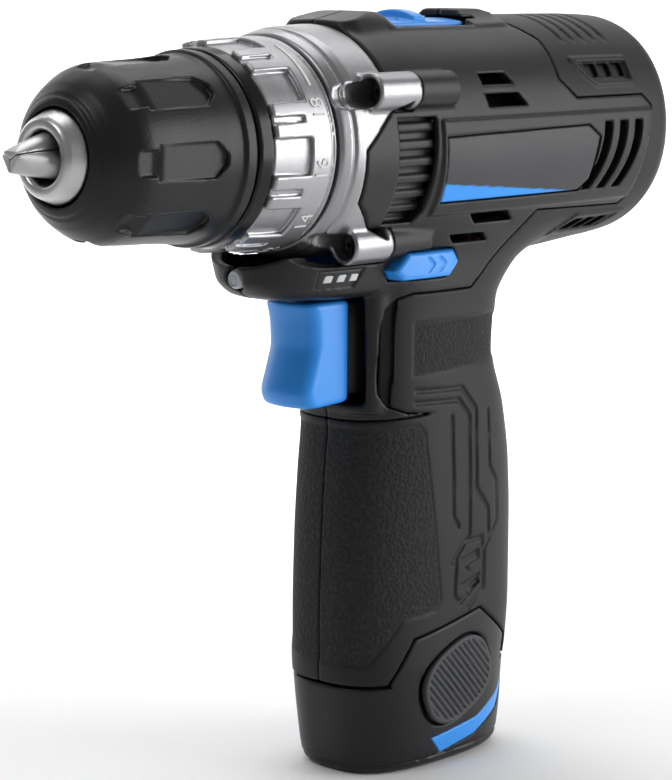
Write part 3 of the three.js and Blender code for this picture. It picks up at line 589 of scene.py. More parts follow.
def casing_field(x, y, z):
    """One hard casing half."""
    side = np.abs(y)
    body = outer(x, y, z)
    # flat raised side panel, with a step along its top
    panel = polygon(x, z, [(17.4, 154.6), (-64, 154.6), (-64, 131.8), (16.4, 131.8)])
    body = body - 0.7 * ramp(-panel, 0, 1.0) * ramp(side, 18, 20)
    # deck and humps on top
    deck = polygon(x, side, [(19, 0), (19, 12.2), (-22, 12.2), (-33, 7), (-33, 0), (-33, -5), (19, -5)])
    body = body - 0.6 * ramp(-deck, 0, 1.2) * ramp(z, 165, 170)
    lump = brick(x, side, z, (15.6, -12, 160), (31.4, 10.6, 178.0), 4.2)
    body = soft_join(body, np.maximum(lump, (x - 21) * 0.24 + z - 178.1), 2.6)
    hump = brick(x, side, z, (-33.5, -12, 160), (-10.6, 9.4, 178.2), 2.2)
    hump = np.maximum(hump, 0.75 * (side - 5.6) + 0.66 * (z - 177.6))
    hump = np.maximum(hump, -0.3 * (x + 21) + 0.9 * (z - 177.9))
    body = soft_join(body, hump, 1.6)
    # front edge: the tongue beside the gearbox window, the rest stops at the silver ring
    tongue = polygon(x, z, TONGUE_EDGE)
    tongue = np.maximum(tongue, 14 - side)
    body = soft_keep(body, np.minimum(x - 31.6, tongue), 0.5)
    # screw bosses behind the ears
    bosses = ear_rods(x, side, z, EAR_R - 0.1, 12.6, EAR_REAR - 0.25)
    body = soft_join(body, bosses, 1.2)
    # chin
    nose = soft_cut(chin(x, y, z), np.maximum(round_hole(y, z, 26.9), 31.8 - x), 0.6)
    body = soft_join(body, nose, 2.0)
    body = soft_join(body, trigger_frame(x, y, z), 0.6)
    body = np.maximum(body, -ear_rods(x, side, z, EAR_R + 0.3, EAR_REAR - 0.25, 60))
    body = np.maximum(body, -ear_rods(x, side, z, 2.4, 16, 60))
    # hollow inside
    inner = np.minimum(np.maximum(barrel(x, y, z, WALL), x - 31), np.maximum(handle(x, y, z, WALL), z - 130))
    inner = np.minimum(inner, np.maximum(round_hole(y, z, 24.8), -x))
    inner = np.minimum(inner, np.maximum(chin(x, y, z, 2.2), 116 - z))
    body = np.maximum(body, -inner)
    # rubber fits in a shallow bed
    bed = np.maximum(grip_area(x, z) - 0.22, -outer(x, y, z, SKIN + 0.2))
    body = soft_cut(body, bed, 0.25)
    # openings
    window = polygon(x, z, [(18.2, 155), (31, 155), (29.6, 131.2), (20.2, 131.2), (18.4, 134)])
    body = soft_cut(body, np.maximum(window, 14 - side), 0.6)
    body = soft_cut(body, side_vents(x, side, z), 0.4)
    track = brick(x, side, z, (SELECTOR[0] - 0.4, -20, 160), (SELECTOR[1] + 0.4, 8.15, 190))
    track = np.minimum(track, brick(x, side, z, (SELECTOR[0] - 4.2, -20, 160), (SELECTOR[0], 8.15, 176.3)))
    body = soft_cut(body, track, 0.4)
    lip = brick(x, side, z, (SELECTOR[0] - 0.2, 7, 174.5), (SELECTOR[1] + 0.2, 20, 190))
    body = soft_cut(body, lip, 0.5)
    button = polygon(x, z, pill(0.35))
    body = soft_cut(body, np.maximum(button, 6 - side), 0.5)
    body = soft_cut(body, trigger_well(x, side, z), 0.6)
    body = soft_cut(body, np.maximum(np.hypot(side, z - LAMP_Z) - 2.55, 53.2 - x), 0.5)
    gauge = polygon(x, z, [(44.4, 121.6), (44.4, 116.8), (33.6, 116.8), (30.6, 121.6)])
    body = body + 0.55 * ramp(-gauge, -0.05, 0.4) * ramp(side, 10, 12) * (x > 28)
    plate = np.maximum(polygon(x, z, plate_edge(0.25)), -outer(x, y, z) - 1.0)
    body = soft_cut(body, np.maximum(plate, 15 - side), 0.3)
    cheek = np.maximum(polygon(x, z, cheek_edge(0.35)), 15.4 - side)
    body = soft_cut(body, cheek, 0.4)
    body = np.maximum(body, -np.maximum(stem(x, y, z, 0.4), z - 73))
    return soft_keep(body, SEAM - y, 0.3)


def pill(grow):
    (x0, x1), _, (z0, z1) = BUTTON
    return [(x0 - grow, 120.8), (6.0 - grow, z0 - grow), (21.8 + grow, z0 - grow), (x1 + grow, 120.0),
            (20.0 + grow, z1 + grow), (4.6 - grow, z1 + grow)]


def plate_edge(grow):
    return [(15.4 + grow, 150.2 + grow), (-36, 151 + grow), (-40.3 - grow, 148.2), (-38.2 - grow, 138),
            (-35, 135.5 - grow), (14.3 + grow, 135.4 - grow)]


def cheek_edge(grow):
    return [(20.5 + grow, 0), (20.5 + grow, 21.2 + grow), (13.8 + grow, 32.4 + grow), (-8.4, 36.6 + grow),
            (-21.5 - grow, 27.2 + grow), (-23.5 - grow, 0)]


def stem(x, y, z, grow):
    return oval(x + 0.9, y, 26.3 + grow, 14.9 + grow, 2.9)


# Fine channels on the rubber's rear half, and its two arrow notches, as (x, z) routes.
CHANNELS = [
    [(13.5, 91.2), (-1.5, 90.6), (-6.6, 85.0), (-6.4, 66.0), (-11.0, 60.6), (-11.4, 52.5)],
    [(13.5, 88.4), (-0.2, 87.9), (-4.0, 83.8), (-3.8, 55.4), (2.4, 49.2)],
    [(-11.6, 84.0), (-11.8, 70.4), (-14.6, 67.0), (-15.0, 57.2), (-9.6, 50.6), (-9.4, 41.4), (-3.6, 37.2)],
    [(2.2, 84.2), (2.0, 60.2), (0.2, 57.6)],
    [(0.8, 50.4), (-2.4, 53.6), (-8.6, 53.9), (-9.2, 44.6), (-0.6, 38.9), (1.4, 41.0), (0.8, 50.4)],
]
ARROWS = [
    [(0.2, 49.6), (-7.6, 51.6), (-7.9, 48.6), (-3.4, 47.5), (-5.6, 44.2)],
    [(0.0, 43.6), (-7.9, 45.6), (-8.2, 42.6), (-3.4, 41.4), (-5.4, 38.8)],
]
FRONT_PANEL = [(40, 82.6), (12.8, 83.4), (10.9, 81.8), (5.8, 40.8), (7.4, 38.4), (17.2, 37.4), (24.6, 27.0),
               (40, 26.6)]
REAR_PANEL = [(14.4, 107.4), (-18, 107.4), (-24.5, 101.6), (-24.5, 96.2), (14.4, 94.4)]


def grain_mask(x, y, z):
    """1 on the stippled panels of the grip."""
    return ramp(-np.minimum(polygon(x, z, FRONT_PANEL), polygon(x, z, REAR_PANEL)), 0.2, 0.8)


def grip_field(x, y, z):
    """One half of the rubber grip and rear bumper, sitting in the casing's bed."""
    side = np.abs(y)
    body = outer(x, y, z)
    low = z < 118
    panels = np.minimum(polygon(x, z, FRONT_PANEL), polygon(x, z, REAR_PANEL))
    body = body + np.where(low, 0.3 * ramp(-panels, -0.3, 0.5), 0)
    cuts = np.minimum.reduce([line(x, z, route) for route in CHANNELS])
    body = body + np.where(low & (side > 4), 0.5 * (1 - ramp(cuts, 0.3, 0.75)), 0)
    for arrow in ARROWS:
        body = body + np.where(low, 0.55 * ramp(-polygon(x, z, arrow), 0, 0.4), 0)
    # ridges over the bumper's crown
    ridge = 0.5 + 0.5 * np.cos((x + 37) * 2 * math.pi / 4.2)
    crown = ramp(z, 169.5, 171.5) * ramp(-np.abs(x + 45) + 11, 0, 1.5)
    body = body + 0.55 * crown * ramp(ridge, 0.62, 0.9)
    # frame round the bumper's upper vents
    frame_line = polygon(x, z, UPPER_FRAME)
    body = body - 0.5 * (1 - ramp(np.abs(frame_line), 0.35, 0.9)) * ramp(side, 12, 14)
    body = body + 0.35 * ramp(-frame_line, 0.4, 1.0) * ramp(side, 12, 14)
    low_frame = polygon(x + (z - 126) * 1.6, z, LOWER_FRAME)
    body = body - 0.4 * (1 - ramp(np.abs(low_frame), 0.3, 0.8)) * ramp(side, 8, 10)
    body = soft_cut(body, rear_vents(x, side, z), 0.4)
    body = np.maximum(body, -outer(x, y, z, SKIN))
    body = soft_keep(body, grip_area(x, z) + 0.05, 0.5)
    body = soft_cut(body, trigger_frame(x, y, z, 0.3), 0.4)
    above_stem = 1e3 * (z > 73)
    body = soft_cut(body, stem(x, y, z, 0.4) + above_stem, 0.2)
    cheek = np.maximum(polygon(x, z, cheek_edge(0.4)), 10 - side)
    body = soft_cut(body, cheek, 0.5)
    return soft_keep(body, SEAM - y, 0.35)


def build_casing():
    moulded("casing_left", casing_field, (TAIL, 0, HANDLE_FOOT), (58.4, 28.6, 179), PLASTIC, "drill_body",
            ["housing_left"],
            mirror={"name": "casing_right", "replaces": ["housing_right"]})
    moulded("grip_rubber_left", grip_field, (TAIL, 0, HANDLE_FOOT), (31, 28, 179), RUBBER, "drill_body",
            ["grip_left"], step=0.5, masks={"grain": grain_mask},
            mirror={"name": "grip_rubber_right", "replaces": ["grip_right"]})


def build_name_plates():
    def plate_field(x, y, z):
        face = outer(x, y, z) - 0.45
        body = np.maximum(face, -(face + 1.3))
        return soft_keep(body, polygon(x, z, plate_edge(0)), 0.3)

    def wedge(x, y, z):
        top = 139.6 - (14.2 - x) * 0.088
        return ramp(top - z, -0.15, 0.15)

    moulded("name_plate_face_left", plate_field, (-42, 20, 134), (17.5, 28, 152),
            PLATE_FINISH, "drill_body", ["name_plate_left"], step=FINE * 0.9,
            masks={"wedge": wedge},
            mirror={"name": "name_plate_face_right", "replaces": ["name_plate_right"]})


# ------------------------------------------------------------------ gearbox ring, collar, chuck
def turn(x, points):
    """Radius of a turned outline at x."""
    at, radius = zip(*points)
    return np.interp(x, at, radius)


def build_gearbox():
    outline = [(RING_REAR, 26.2), (34, 26.2), (42, 25.9), (45.4, 25.2), (RING_FRONT, 24.3)]

    def ring(x, y, z):
        side = np.abs(y)
        round_r = np.hypot(y, z - AXIS_Z)
        body = (round_r - turn(x, outline)) * 0.96
        body = soft_keep(body, slab(31.8, RING_FRONT - 0.1, x), 0.7)
        lugs = [np.maximum(np.hypot(side - dy, z - AXIS_Z - dz) - EAR_R, slab(EAR_REAR, front, x))
                for dy, dz, front in EARS]
        for lug, (dy, dz, front) in zip(lugs, EARS):
            blend = soft_keep(lug, x - front, 1.2)
            body = soft_join(body, blend, 1.4)
        # the bore, wide behind and narrower in front of its step
        step_at = np.where(round_r < 25.2, 33.8, 33.6)
        body = np.maximum(body, np.where(x < step_at, 25.2, 18) - round_r)
        for dy, dz, front in EARS:
            hole = np.hypot(side - dy, z - AXIS_Z - dz)
            body = soft_cut(body, np.maximum(hole - 3.2, EAR_REAR + 5.6 - x), 0.4)
            body = np.maximum(body, -(hole - 1.8))
        tongue = np.maximum(polygon(x, z, TONGUE_EDGE) - 0.35, 14 - side)
        body = soft_cut(body, tongue, 0.4)
        groove = 0.45 * (1 - ramp(np.abs(x - 44.6), 0.25, 0.6))
        return body + groove

    low = (EAR_REAR, -28.4, 121.4)
    moulded("gearbox_ring_cast", ring, low, (RING_FRONT, 28.4, 176), SILVER, "drill_body",
            ["gearbox_ring"], step=FINE * 0.95)

    def ribs(x, y, z):
        round_r = np.hypot(y, z - AXIS_Z)
        angle = np.degrees(np.arctan2(z - AXIS_Z, np.abs(y)))
        wave = np.abs(((angle + 4.6) / 9.2) - np.round((angle + 4.6) / 9.2)) * 2
        radius = 23.4 + 1.3 * ramp(wave, 0.35, 0.6)
        body = soft_keep(round_r - radius, slab(17.4, 30.2, x), 0.5)
        body = np.maximum(body, 21.6 - round_r)
        return body

    moulded("gearbox_ribs", ribs, (17, -25, 124), (31, 25, 174), SHADOW_RIB, "drill_body",
            ["gearbox_case"], step=FINE * 1.1)


SHADOW_RIB = moulded_plastic("rib_plastic", (0.02, 0.02, 0.022), 0.42)


def build_collar():
    outline = [(COLLAR_REAR, 23.85), (61.4, 23.5), (RIM_REAR, 23.2)]
    pocket_turn = math.radians(-2.5)
    pitch = 2 * math.pi / 9

    def collar(x, y, z):
        round_r = np.hypot(y, z - AXIS_Z)
        turned_by = (np.arctan2(z - AXIS_Z, y) - pocket_turn) / pitch
        swing = (turned_by - np.round(turned_by)) * pitch * 23
        between = (turned_by + 0.5 - np.round(turned_by + 0.5)) * pitch * 23
        surface = turn(x, outline)
        body = soft_keep((round_r - surface) * 0.96, slab(COLLAR_REAR + 0.02, RIM_REAR, x), 0.5)
        pocket = np.maximum(np.maximum(np.abs(swing) - 4.1, 56.0 - x), surface - 1.2 - round_r)
        body = soft_cut(body, pocket, 0.35)
        slot = np.maximum(np.maximum(np.abs(between) - 0.8, 57.5 - x), surface - 0.8 - round_r)
        body = soft_cut(body, slot, 0.2)
        body = body + 0.35 * (1 - ramp(np.abs(x - 49.9), 0.15, 0.45))
        return np.maximum(body, 20.2 - round_r)

    def rim(x, y, z):
        round_r = np.hypot(y, z - AXIS_Z)
        edge = turn(x, [(RIM_REAR, 22.2), (COLLAR_FRONT, 21.5)])
        body = soft_keep((round_r - edge) * 0.96, slab(RIM_REAR + 0.02, COLLAR_FRONT - 0.02, x), 0.6)
        return np.maximum(body, np.where(x > 66.9, 15.2, 20.2) - round_r)

    moulded("collar_rim", rim, (RIM_REAR, -23, 126), (COLLAR_FRONT, 23, 172), GLOSS_BLACK, "collar",
            step=FINE * 0.85)
    moulded("collar_shell", collar, (COLLAR_REAR, -24, 125), (COLLAR_FRONT, 24, 173), COLLAR_PAINT, "collar",
            ["torque_collar"], step=FINE * 0.85)
    build_scale()


def wrapped(curve_object, radius, x_middle, angle_middle):
    """Flat text or outline laid on a cylinder round the spindle, standing across it."""
    evaluated = curve_object.evaluated_get(bpy.context.evaluated_depsgraph_get())
    mesh = bpy.data.meshes.new_from_object(evaluated)
    points = np.array([v.co[:] for v in mesh.vertices])
    faces = [list(p.vertices) for p in mesh.polygons]
    bpy.data.objects.remove(curve_object)
    angle = angle_middle + points[:, 0] / radius
    lift = radius + points[:, 2]
    placed = np.stack([x_middle + points[:, 1], lift * np.cos(angle), AXIS_Z + lift * np.sin(angle)], -1)
    return placed, faces


def build_scale():
    """The torque numbers and the drill mark, printed on the collar's rear band."""
    first = math.radians(22.3)
    for number in range(18, 0, -2):
        text = bpy.data.curves.new(f"mark_{number}", "FONT")
        text.body = str(number)
        text.size = 5.2
        text.align_x = "CENTER"
        text.align_y = "CENTER"
        text.extrude = 0.06
        text.resolution_u = 3
        made = bpy.data.objects.new(f"mark_{number}", text)
        bpy.context.collection.objects.link(made)
        bpy.context.view_layer.update()
        angle = first - math.radians(32) * (18 - number) / 2
        points, faces = wrapped(made, 23.84, 52.9, angle)
        outward = [face[::-1] for face in faces]
        piece(f"scale_{number}", points, outward, WHITE_PRINT, "collar", smooth=False)
    arc = np.linspace(math.radians(35.5), math.radians(68), 28)
    points = []
    for angle in arc:
        for x, radius in ((52.5, 23.7), (52.5, 23.9), (53.2, 23.9), (53.2, 23.7)):
            points.append((x, radius * math.cos(angle), AXIS_Z + radius * math.sin(angle)))
    faces = []
    for i in range(len(arc) - 1):
        for k in range(4):
            a, b = 4 * i + k, 4 * i + (k + 1) % 4
            faces.append((a, b, b + 4, a + 4))
    last = 4 * (len(arc) - 1)
    faces += [(3, 2, 1, 0), (last, last + 1, last + 2, last + 3)]
    piece("drill_setting_arc", np.array(points), faces, WHITE_PRINT, "collar", smooth=False)


def build_chuck():
    outline = [(SLEEVE_REAR, 21.3), (73.2, 21.3), (74, 20.5), (78, 20.2), (82, 19.9), (88, 19.6), (94, 19.4),
               (98, 19.1), (100, 18.6), (102, 17.6), (105, 15.6), (106, 14.6), (107, 13.6), (108, 12.5),
               (SLEEVE_FRONT, 11.4)]
    curve = profile(outline)
    bore = [(SLEEVE_REAR, 18.4), (92, 18.2), (106, 10.5), (SLEEVE_FRONT + 1, 10.5)]
    pitch = 2 * math.pi / 8

    def sleeve(x, y, z):
        round_r = np.hypot(y, z - AXIS_Z)
        angle = np.arctan2(z - AXIS_Z, y) + math.radians(2.5)
        swing = (angle - np.round(angle / pitch) * pitch) * 20.5
        body = (round_r - curve(x)) * 0.9
        body = soft_keep(body, slab(SLEEVE_REAR + 0.02, SLEEVE_FRONT - 0.02, x), 0.6)
        # each recess: a floor with a chamfered rear end, then a narrower facet in front
        half = np.minimum(np.where(x > 96.8, 3.0, 4.0), 1.2 + x - 78)
        floor = 18.9 - 1.1 * ramp(x, 95, 98.5)
        recess = np.maximum(np.abs(swing) - half, slab(78, 103.5, x))
        keyed = np.maximum(recess, floor - round_r * np.cos(swing / 20.5))
        body = soft_cut(body, keyed, 0.25)
        body = body + 0.35 * (1 - ramp(np.abs(x - 107.6), 0.2, 0.5))
        return np.maximum(body, turn(x, bore) - round_r)

    moulded("sleeve_shell", sleeve, (SLEEVE_REAR, -21.6, 127.4), (SLEEVE_FRONT, 21.6, 170.6), SLEEVE_PLASTIC,
            "sleeve", ["chuck_sleeve"], step=FINE * 0.8)

    def nose(x, y, z):
        round_r = np.hypot(y, z - AXIS_Z)
        shape = turn(x, [(74.3, 17.2), (96, 15), (104.5, 9.9), (108.4, 9.9), (NOSE_FRONT - 0.9, 8.6),
                         (NOSE_FRONT, 7.9)])
        body = soft_keep((round_r - shape) * 0.9, slab(74.3, NOSE_FRONT - 0.01, x), 0.4)
        mouth = 5.7 + 0.5 * ramp(x, NOSE_FRONT - 1, NOSE_FRONT)
        body = soft_cut(body, np.maximum(round_r - mouth, 90 - x), 0.3)
        for i in range(3):
            turned_by = 2 * math.pi * i / 3
            out = -math.sin(turned_by) * y + math.cos(turned_by) * (z - AXIS_Z)
            across = math.cos(turned_by) * y + math.sin(turned_by) * (z - AXIS_Z)
            lean = math.radians(17.5)
            off = (out - (117.45 - x) * math.tan(lean)) * math.cos(lean)
            body = np.maximum(body, -(np.hypot(off, across) - 3.55))
        return np.maximum(body, 4.9 - round_r)

    moulded("chuck_nose", nose, (74.3, -17.4, 131.4), (NOSE_FRONT, 17.4, 166.6), STEEL, "output",
            ["chuck_body"], step=FINE * 0.8)

    for i in range(3):
        def jaw(x, y, z, i=i):
            turned_by = 2 * math.pi * i / 3
            out = -math.sin(turned_by) * y + math.cos(turned_by) * (z - AXIS_Z)
            across = math.cos(turned_by) * y + math.sin(turned_by) * (z - AXIS_Z)
            lean = math.radians(17.5)
            off = (out - (117.45 - x) * math.tan(lean)) * math.cos(lean)
            body = np.hypot(off, across) - 3.2
            body = np.maximum(body, slab(90.5, JAW_TIP - 0.02, x))
            sector = np.abs(across) * math.cos(math.pi / 3) - (out - 0.14) * math.sin(math.pi / 3)
            body = soft_keep(body, sector, 0.12)
            tip = 0.86 * (out - 1.9) + 0.5 * (x - JAW_TIP + 0.2)
            return soft_keep(body, tip, 0.15)

        low, high = (np.array(corner) * 1000 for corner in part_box(f"chuck_jaw_{i + 1}"))
        moulded(f"jaw_{i + 1}_ground", jaw, low, high, JAW_STEEL, f"jaw_{i + 1}",
                [f"chuck_jaw_{i + 1}"], step=min(FINE, 0.5) * 0.6)


# ------------------------------------------------------------------ keys, lamp and gauge
def build_keys():
    top, foot = span("trigger", 2)[1], span("trigger", 2)[0]
    front = profile([(88.6, 41.2), (92.2, 42.6), (97, 41.2), (103, 39.6), (108, 39.9), (113, 41.2)])

    def trigger(x, y, z):
        crown = 0.030 * y * y
        body = np.maximum(x - (front(z) - crown), 26.5 - x)
        body = soft_keep(body, np.abs(y) - 7.95, 2.6)
        body = soft_keep(body, slab(foot + 0.05 + 0.05 * (42 - x), top - 0.05, z), 1.4)
        return body

    # The trigger's neck behind the blue face is made in black plastic: painted shade for the part that the
    # trigger frame shades.
    def neck(x, y, z):
        return np.maximum(np.maximum(np.abs(y) - 5.9, slab(14.6, 26.4, x)), slab(foot + 2, top - 1, z))

    moulded("trigger_key_neck", neck, (14.5, -6, foot), (26.5, 6, top), PLASTIC, "trigger_key",
            step=FINE)

    moulded("trigger_key_face", trigger, (26.4, -8, foot), (42.8, 8, top), BLUE, "trigger_key",
            ["trigger"], step=FINE * 0.8)

    def button(x, y, z):
        body = soft_keep(polygon(x, z, pill(-0.05)), np.abs(y) - (20.25 - 0.006 * (x - 12) ** 2), 1.2)
        for shift in (0.0, 4.0):
            tip = np.abs(z - 120.9) * 1.1 - (x - 8.0 - shift)
            mark = np.maximum(np.abs(tip) - 0.55, np.abs(z - 120.9) - 1.9)
            body = body + 0.4 * ramp(-mark, -0.1, 0.35) * ramp(np.abs(y), 15, 17)
        return body

    (x0, x1), (y0, y1), (z0, z1) = BUTTON
    moulded("direction_key_bar", button, (x0, y0, z0), (x1, y1, z1), BLUE, "direction_key",
            ["direction_button"], step=FINE * 0.8)

    def selector(x, y, z):
        side = np.abs(y)
        crown = 176.1 - 0.012 * y * y
        body = soft_keep(np.maximum(z - crown, 173.9 - z), np.maximum(side - 7.8, slab(*SELECTOR, x)), 0.6)
        tab = np.maximum(slab(1.2 + 0.05 * side, 5.6 - 0.16 * (z - 176), x), side - 7.2)
        tab = soft_keep(tab, z - (SELECTOR_TOP - 0.05 - 0.030 * y * y), 0.8)
        tab = np.maximum(tab, 174 - z)
        body = soft_join(body, tab, 0.9)
        dish = np.hypot(x - 10.5, y) - 5.0
        return body + 0.25 * (1 - ramp(np.abs(dish), 0.2, 0.6)) * (x > 6)

    moulded("selector_slider", selector, (SELECTOR[0], -7.9, 173.7), (SELECTOR[1], 7.9, SELECTOR_TOP), BLUE,
            "selector", ["speed_selector"], step=FINE * 0.7)


def build_lamp_and_gauge():
    def lens(x, y, z):
        round_r = np.hypot(y, z - LAMP_Z)
        dome = LAMP_FRONT - 0.5 - 0.09 * round_r ** 2 + 0.35 * ramp(-np.abs(round_r - 1.7), -0.4, 0)
        return soft_keep(np.maximum(round_r - 2.2, 53.7 - x), x - dome, 0.3)

    moulded("lamp_lens", lens, (53.6, -2.3, LAMP_Z - 2.3), (LAMP_FRONT, 2.3, LAMP_Z + 2.3), LENS,
            "drill_body", ["led_lens"], step=min(FINE, 0.5) * 0.6)

    def panel(x, y, z):
        face = np.minimum(outer(x, y, z), chin(x, y, z)) + 0.42
        body = np.maximum(face, -(face + 1.2))
        area = polygon(x, z, [(44, 121.2), (44, 117.2), (33.9, 117.2), (31.3, 121.2)])
        return np.maximum(soft_keep(body, area, 0.25), 8 - y)

    moulded("gauge_panel_left", panel, (30.6, 9, 116.6), (44.6, 20, 121.8), GAUGE_DARK, "drill_body",
            ["gauge_window"], step=FINE * 0.7, mirror={"name": "gauge_panel_right"})
    for k in range(3):
        middle = 41.2 - 3.7 * k

        def light(x, y, z):
            face = np.minimum(outer(x, y, z), chin(x, y, z)) + 0.28
            body = np.maximum(face, -(face + 0.7))
            area = np.maximum(np.abs(x - middle + (z - 119.2) * 0.25) - 1.15, np.abs(z - 119.3) - 0.85)
            return np.maximum(soft_keep(body, area, 0.2), 8 - y)

        moulded(f"gauge_light_left_{k + 1}", light, (middle - 2, 9, 118), (middle + 2, 20, 120.6),
                GAUGE_LIGHT, "drill_body", step=min(FINE, 0.5) * 0.6,
                mirror={"name": f"gauge_light_right_{k + 1}"})


# ------------------------------------------------------------------ battery
BASE_REAR = profile([(0, -25.5), (2.2, -27.1), (10, -28.0), (21.6, -28.4), (40, -29.8)])
BASE_FRONT = profile([(0, 24.3), (2.2, 25.7), (10, 26.9), (21.6, 28.1), (40, 28.5)])
BASE_HALF = profile([(0, 15.1), (2.2, 16.5), (10, 17.3), (21.6, 18.0), (26, 18.4), (40, 18.6)])
STRIPE_EDGE = [(7.0, 7.0), (3.4, 2.9), (-9, 5.0), (-18.6, 9.2), (-24.6, 16.6), (-25, 18.6), (-19.4, 13.6),
               (-9.5, 9.2)]
PAD_MIDDLE = (-0.9, 20.4)
PAD_LEAN = 0.4


def pad_shape(x, z, grow=0.0):
    u = (x - PAD_MIDDLE[0]) * math.cos(PAD_LEAN) - (z - PAD_MIDDLE[1]) * math.sin(PAD_LEAN)
    v = (x - PAD_MIDDLE[0]) * math.sin(PAD_LEAN) + (z - PAD_MIDDLE[1]) * math.cos(PAD_LEAN)
    return oval(u, v, 12.0 + grow, 9.0 + grow, 2.5)


def battery_outer(x, y, z, inset=0.0):
    rear, front = BASE_REAR(z) + inset, BASE_FRONT(z) - inset
    return oval(x - (rear + front) / 2, y, (front - rear) / 2, BASE_HALF(z) - inset, 2.75)


def build_battery():
    stem_top = span("battery_shell", 2)[1]

    def shell(x, y, z):
        side = np.abs(y)
        skin = battery_outer(x, y, z)
        cheek = np.maximum(polygon(x, z, cheek_edge(0)), 15 - side)
        foot = np.maximum(skin, z - 21.4)
        rise = soft_keep(np.maximum(skin, z - 40), cheek, 0.4)
        body = np.minimum(soft_keep(foot, -z + 0.02, 1.0), np.where(z > 10, rise, 1e3))
        inner = np.maximum(stem(x, y, z, 0), slab(15, stem_top, z))
        body = np.minimum(body, inner)
        body = body + 0.45 * (1 - ramp(np.abs(z - 2.6 + 0.02 * (x + 1)), 0.2, 0.55)) * (z < 6)
        body = body + 0.5 * (1 - ramp(np.abs(pad_shape(x, z, 0.35)), 0.2, 0.6)) * (side > 14)
        pocket = np.maximum(pad_shape(x, z, 0.3), 15.7 - side)
        body = soft_cut(body, pocket, 0.3)
        stripe = np.maximum(polygon(x, z, STRIPE_EDGE) - 0.12, 10 - side)
        return np.maximum(body, np.where(stripe < 0, skin + 1.1, -1e3))

    moulded("battery_case", shell, (-29.9, -18.9, 0), (28.7, 18.9, stem_top), BATTERY_PLASTIC, "battery",
            ["battery_shell"], step=FINE)

    def pad(x, y, z):
        u = (x - PAD_MIDDLE[0]) * math.cos(0.75) - (z - PAD_MIDDLE[1]) * math.sin(0.75)
        wave = np.abs(u / 1.45 - np.round(u / 1.45)) * 2
        face = 19.05 - 0.0025 * ((x - PAD_MIDDLE[0]) ** 2 + (z - PAD_MIDDLE[1]) ** 2)
        rim = pad_shape(x, z)
        face = face - 0.55 * ramp(wave, 0.45, 0.8) * ramp(-rim, 0.9, 1.3)
        return soft_keep(np.maximum(y - face, 17.15 - y), rim, 0.5)

    moulded("latch_pad_left", pad, (-14, 17.1, 10), (12, 19.1, 31), GREY_PAD, "latch_left",
            ["battery_latch_left"], step=FINE * 0.75,
            mirror={"name": "latch_pad_right", "body": "latch_right", "replaces": ["battery_latch_right"]})

    def stripe(x, y, z):
        face = battery_outer(x, y, z) + 0.08
        body = np.maximum(face, -(face + 0.9))
        return np.maximum(soft_keep(body, polygon(x, z, STRIPE_EDGE), 0.2), 10 - y)

    moulded("blue_stripe_left", stripe, (-26, 8, 2), (8, 20, 20), BLUE, "battery",
            step=0.35, mirror={"name": "blue_stripe_right"})


# ------------------------------------------------------------------ screws, by Geometry Nodes
SCREW_PLACES = [(-68, 139), (-20, 165), (-24, 126), (-14, 92), (12, 64), (18, 42), (-18, 40)]


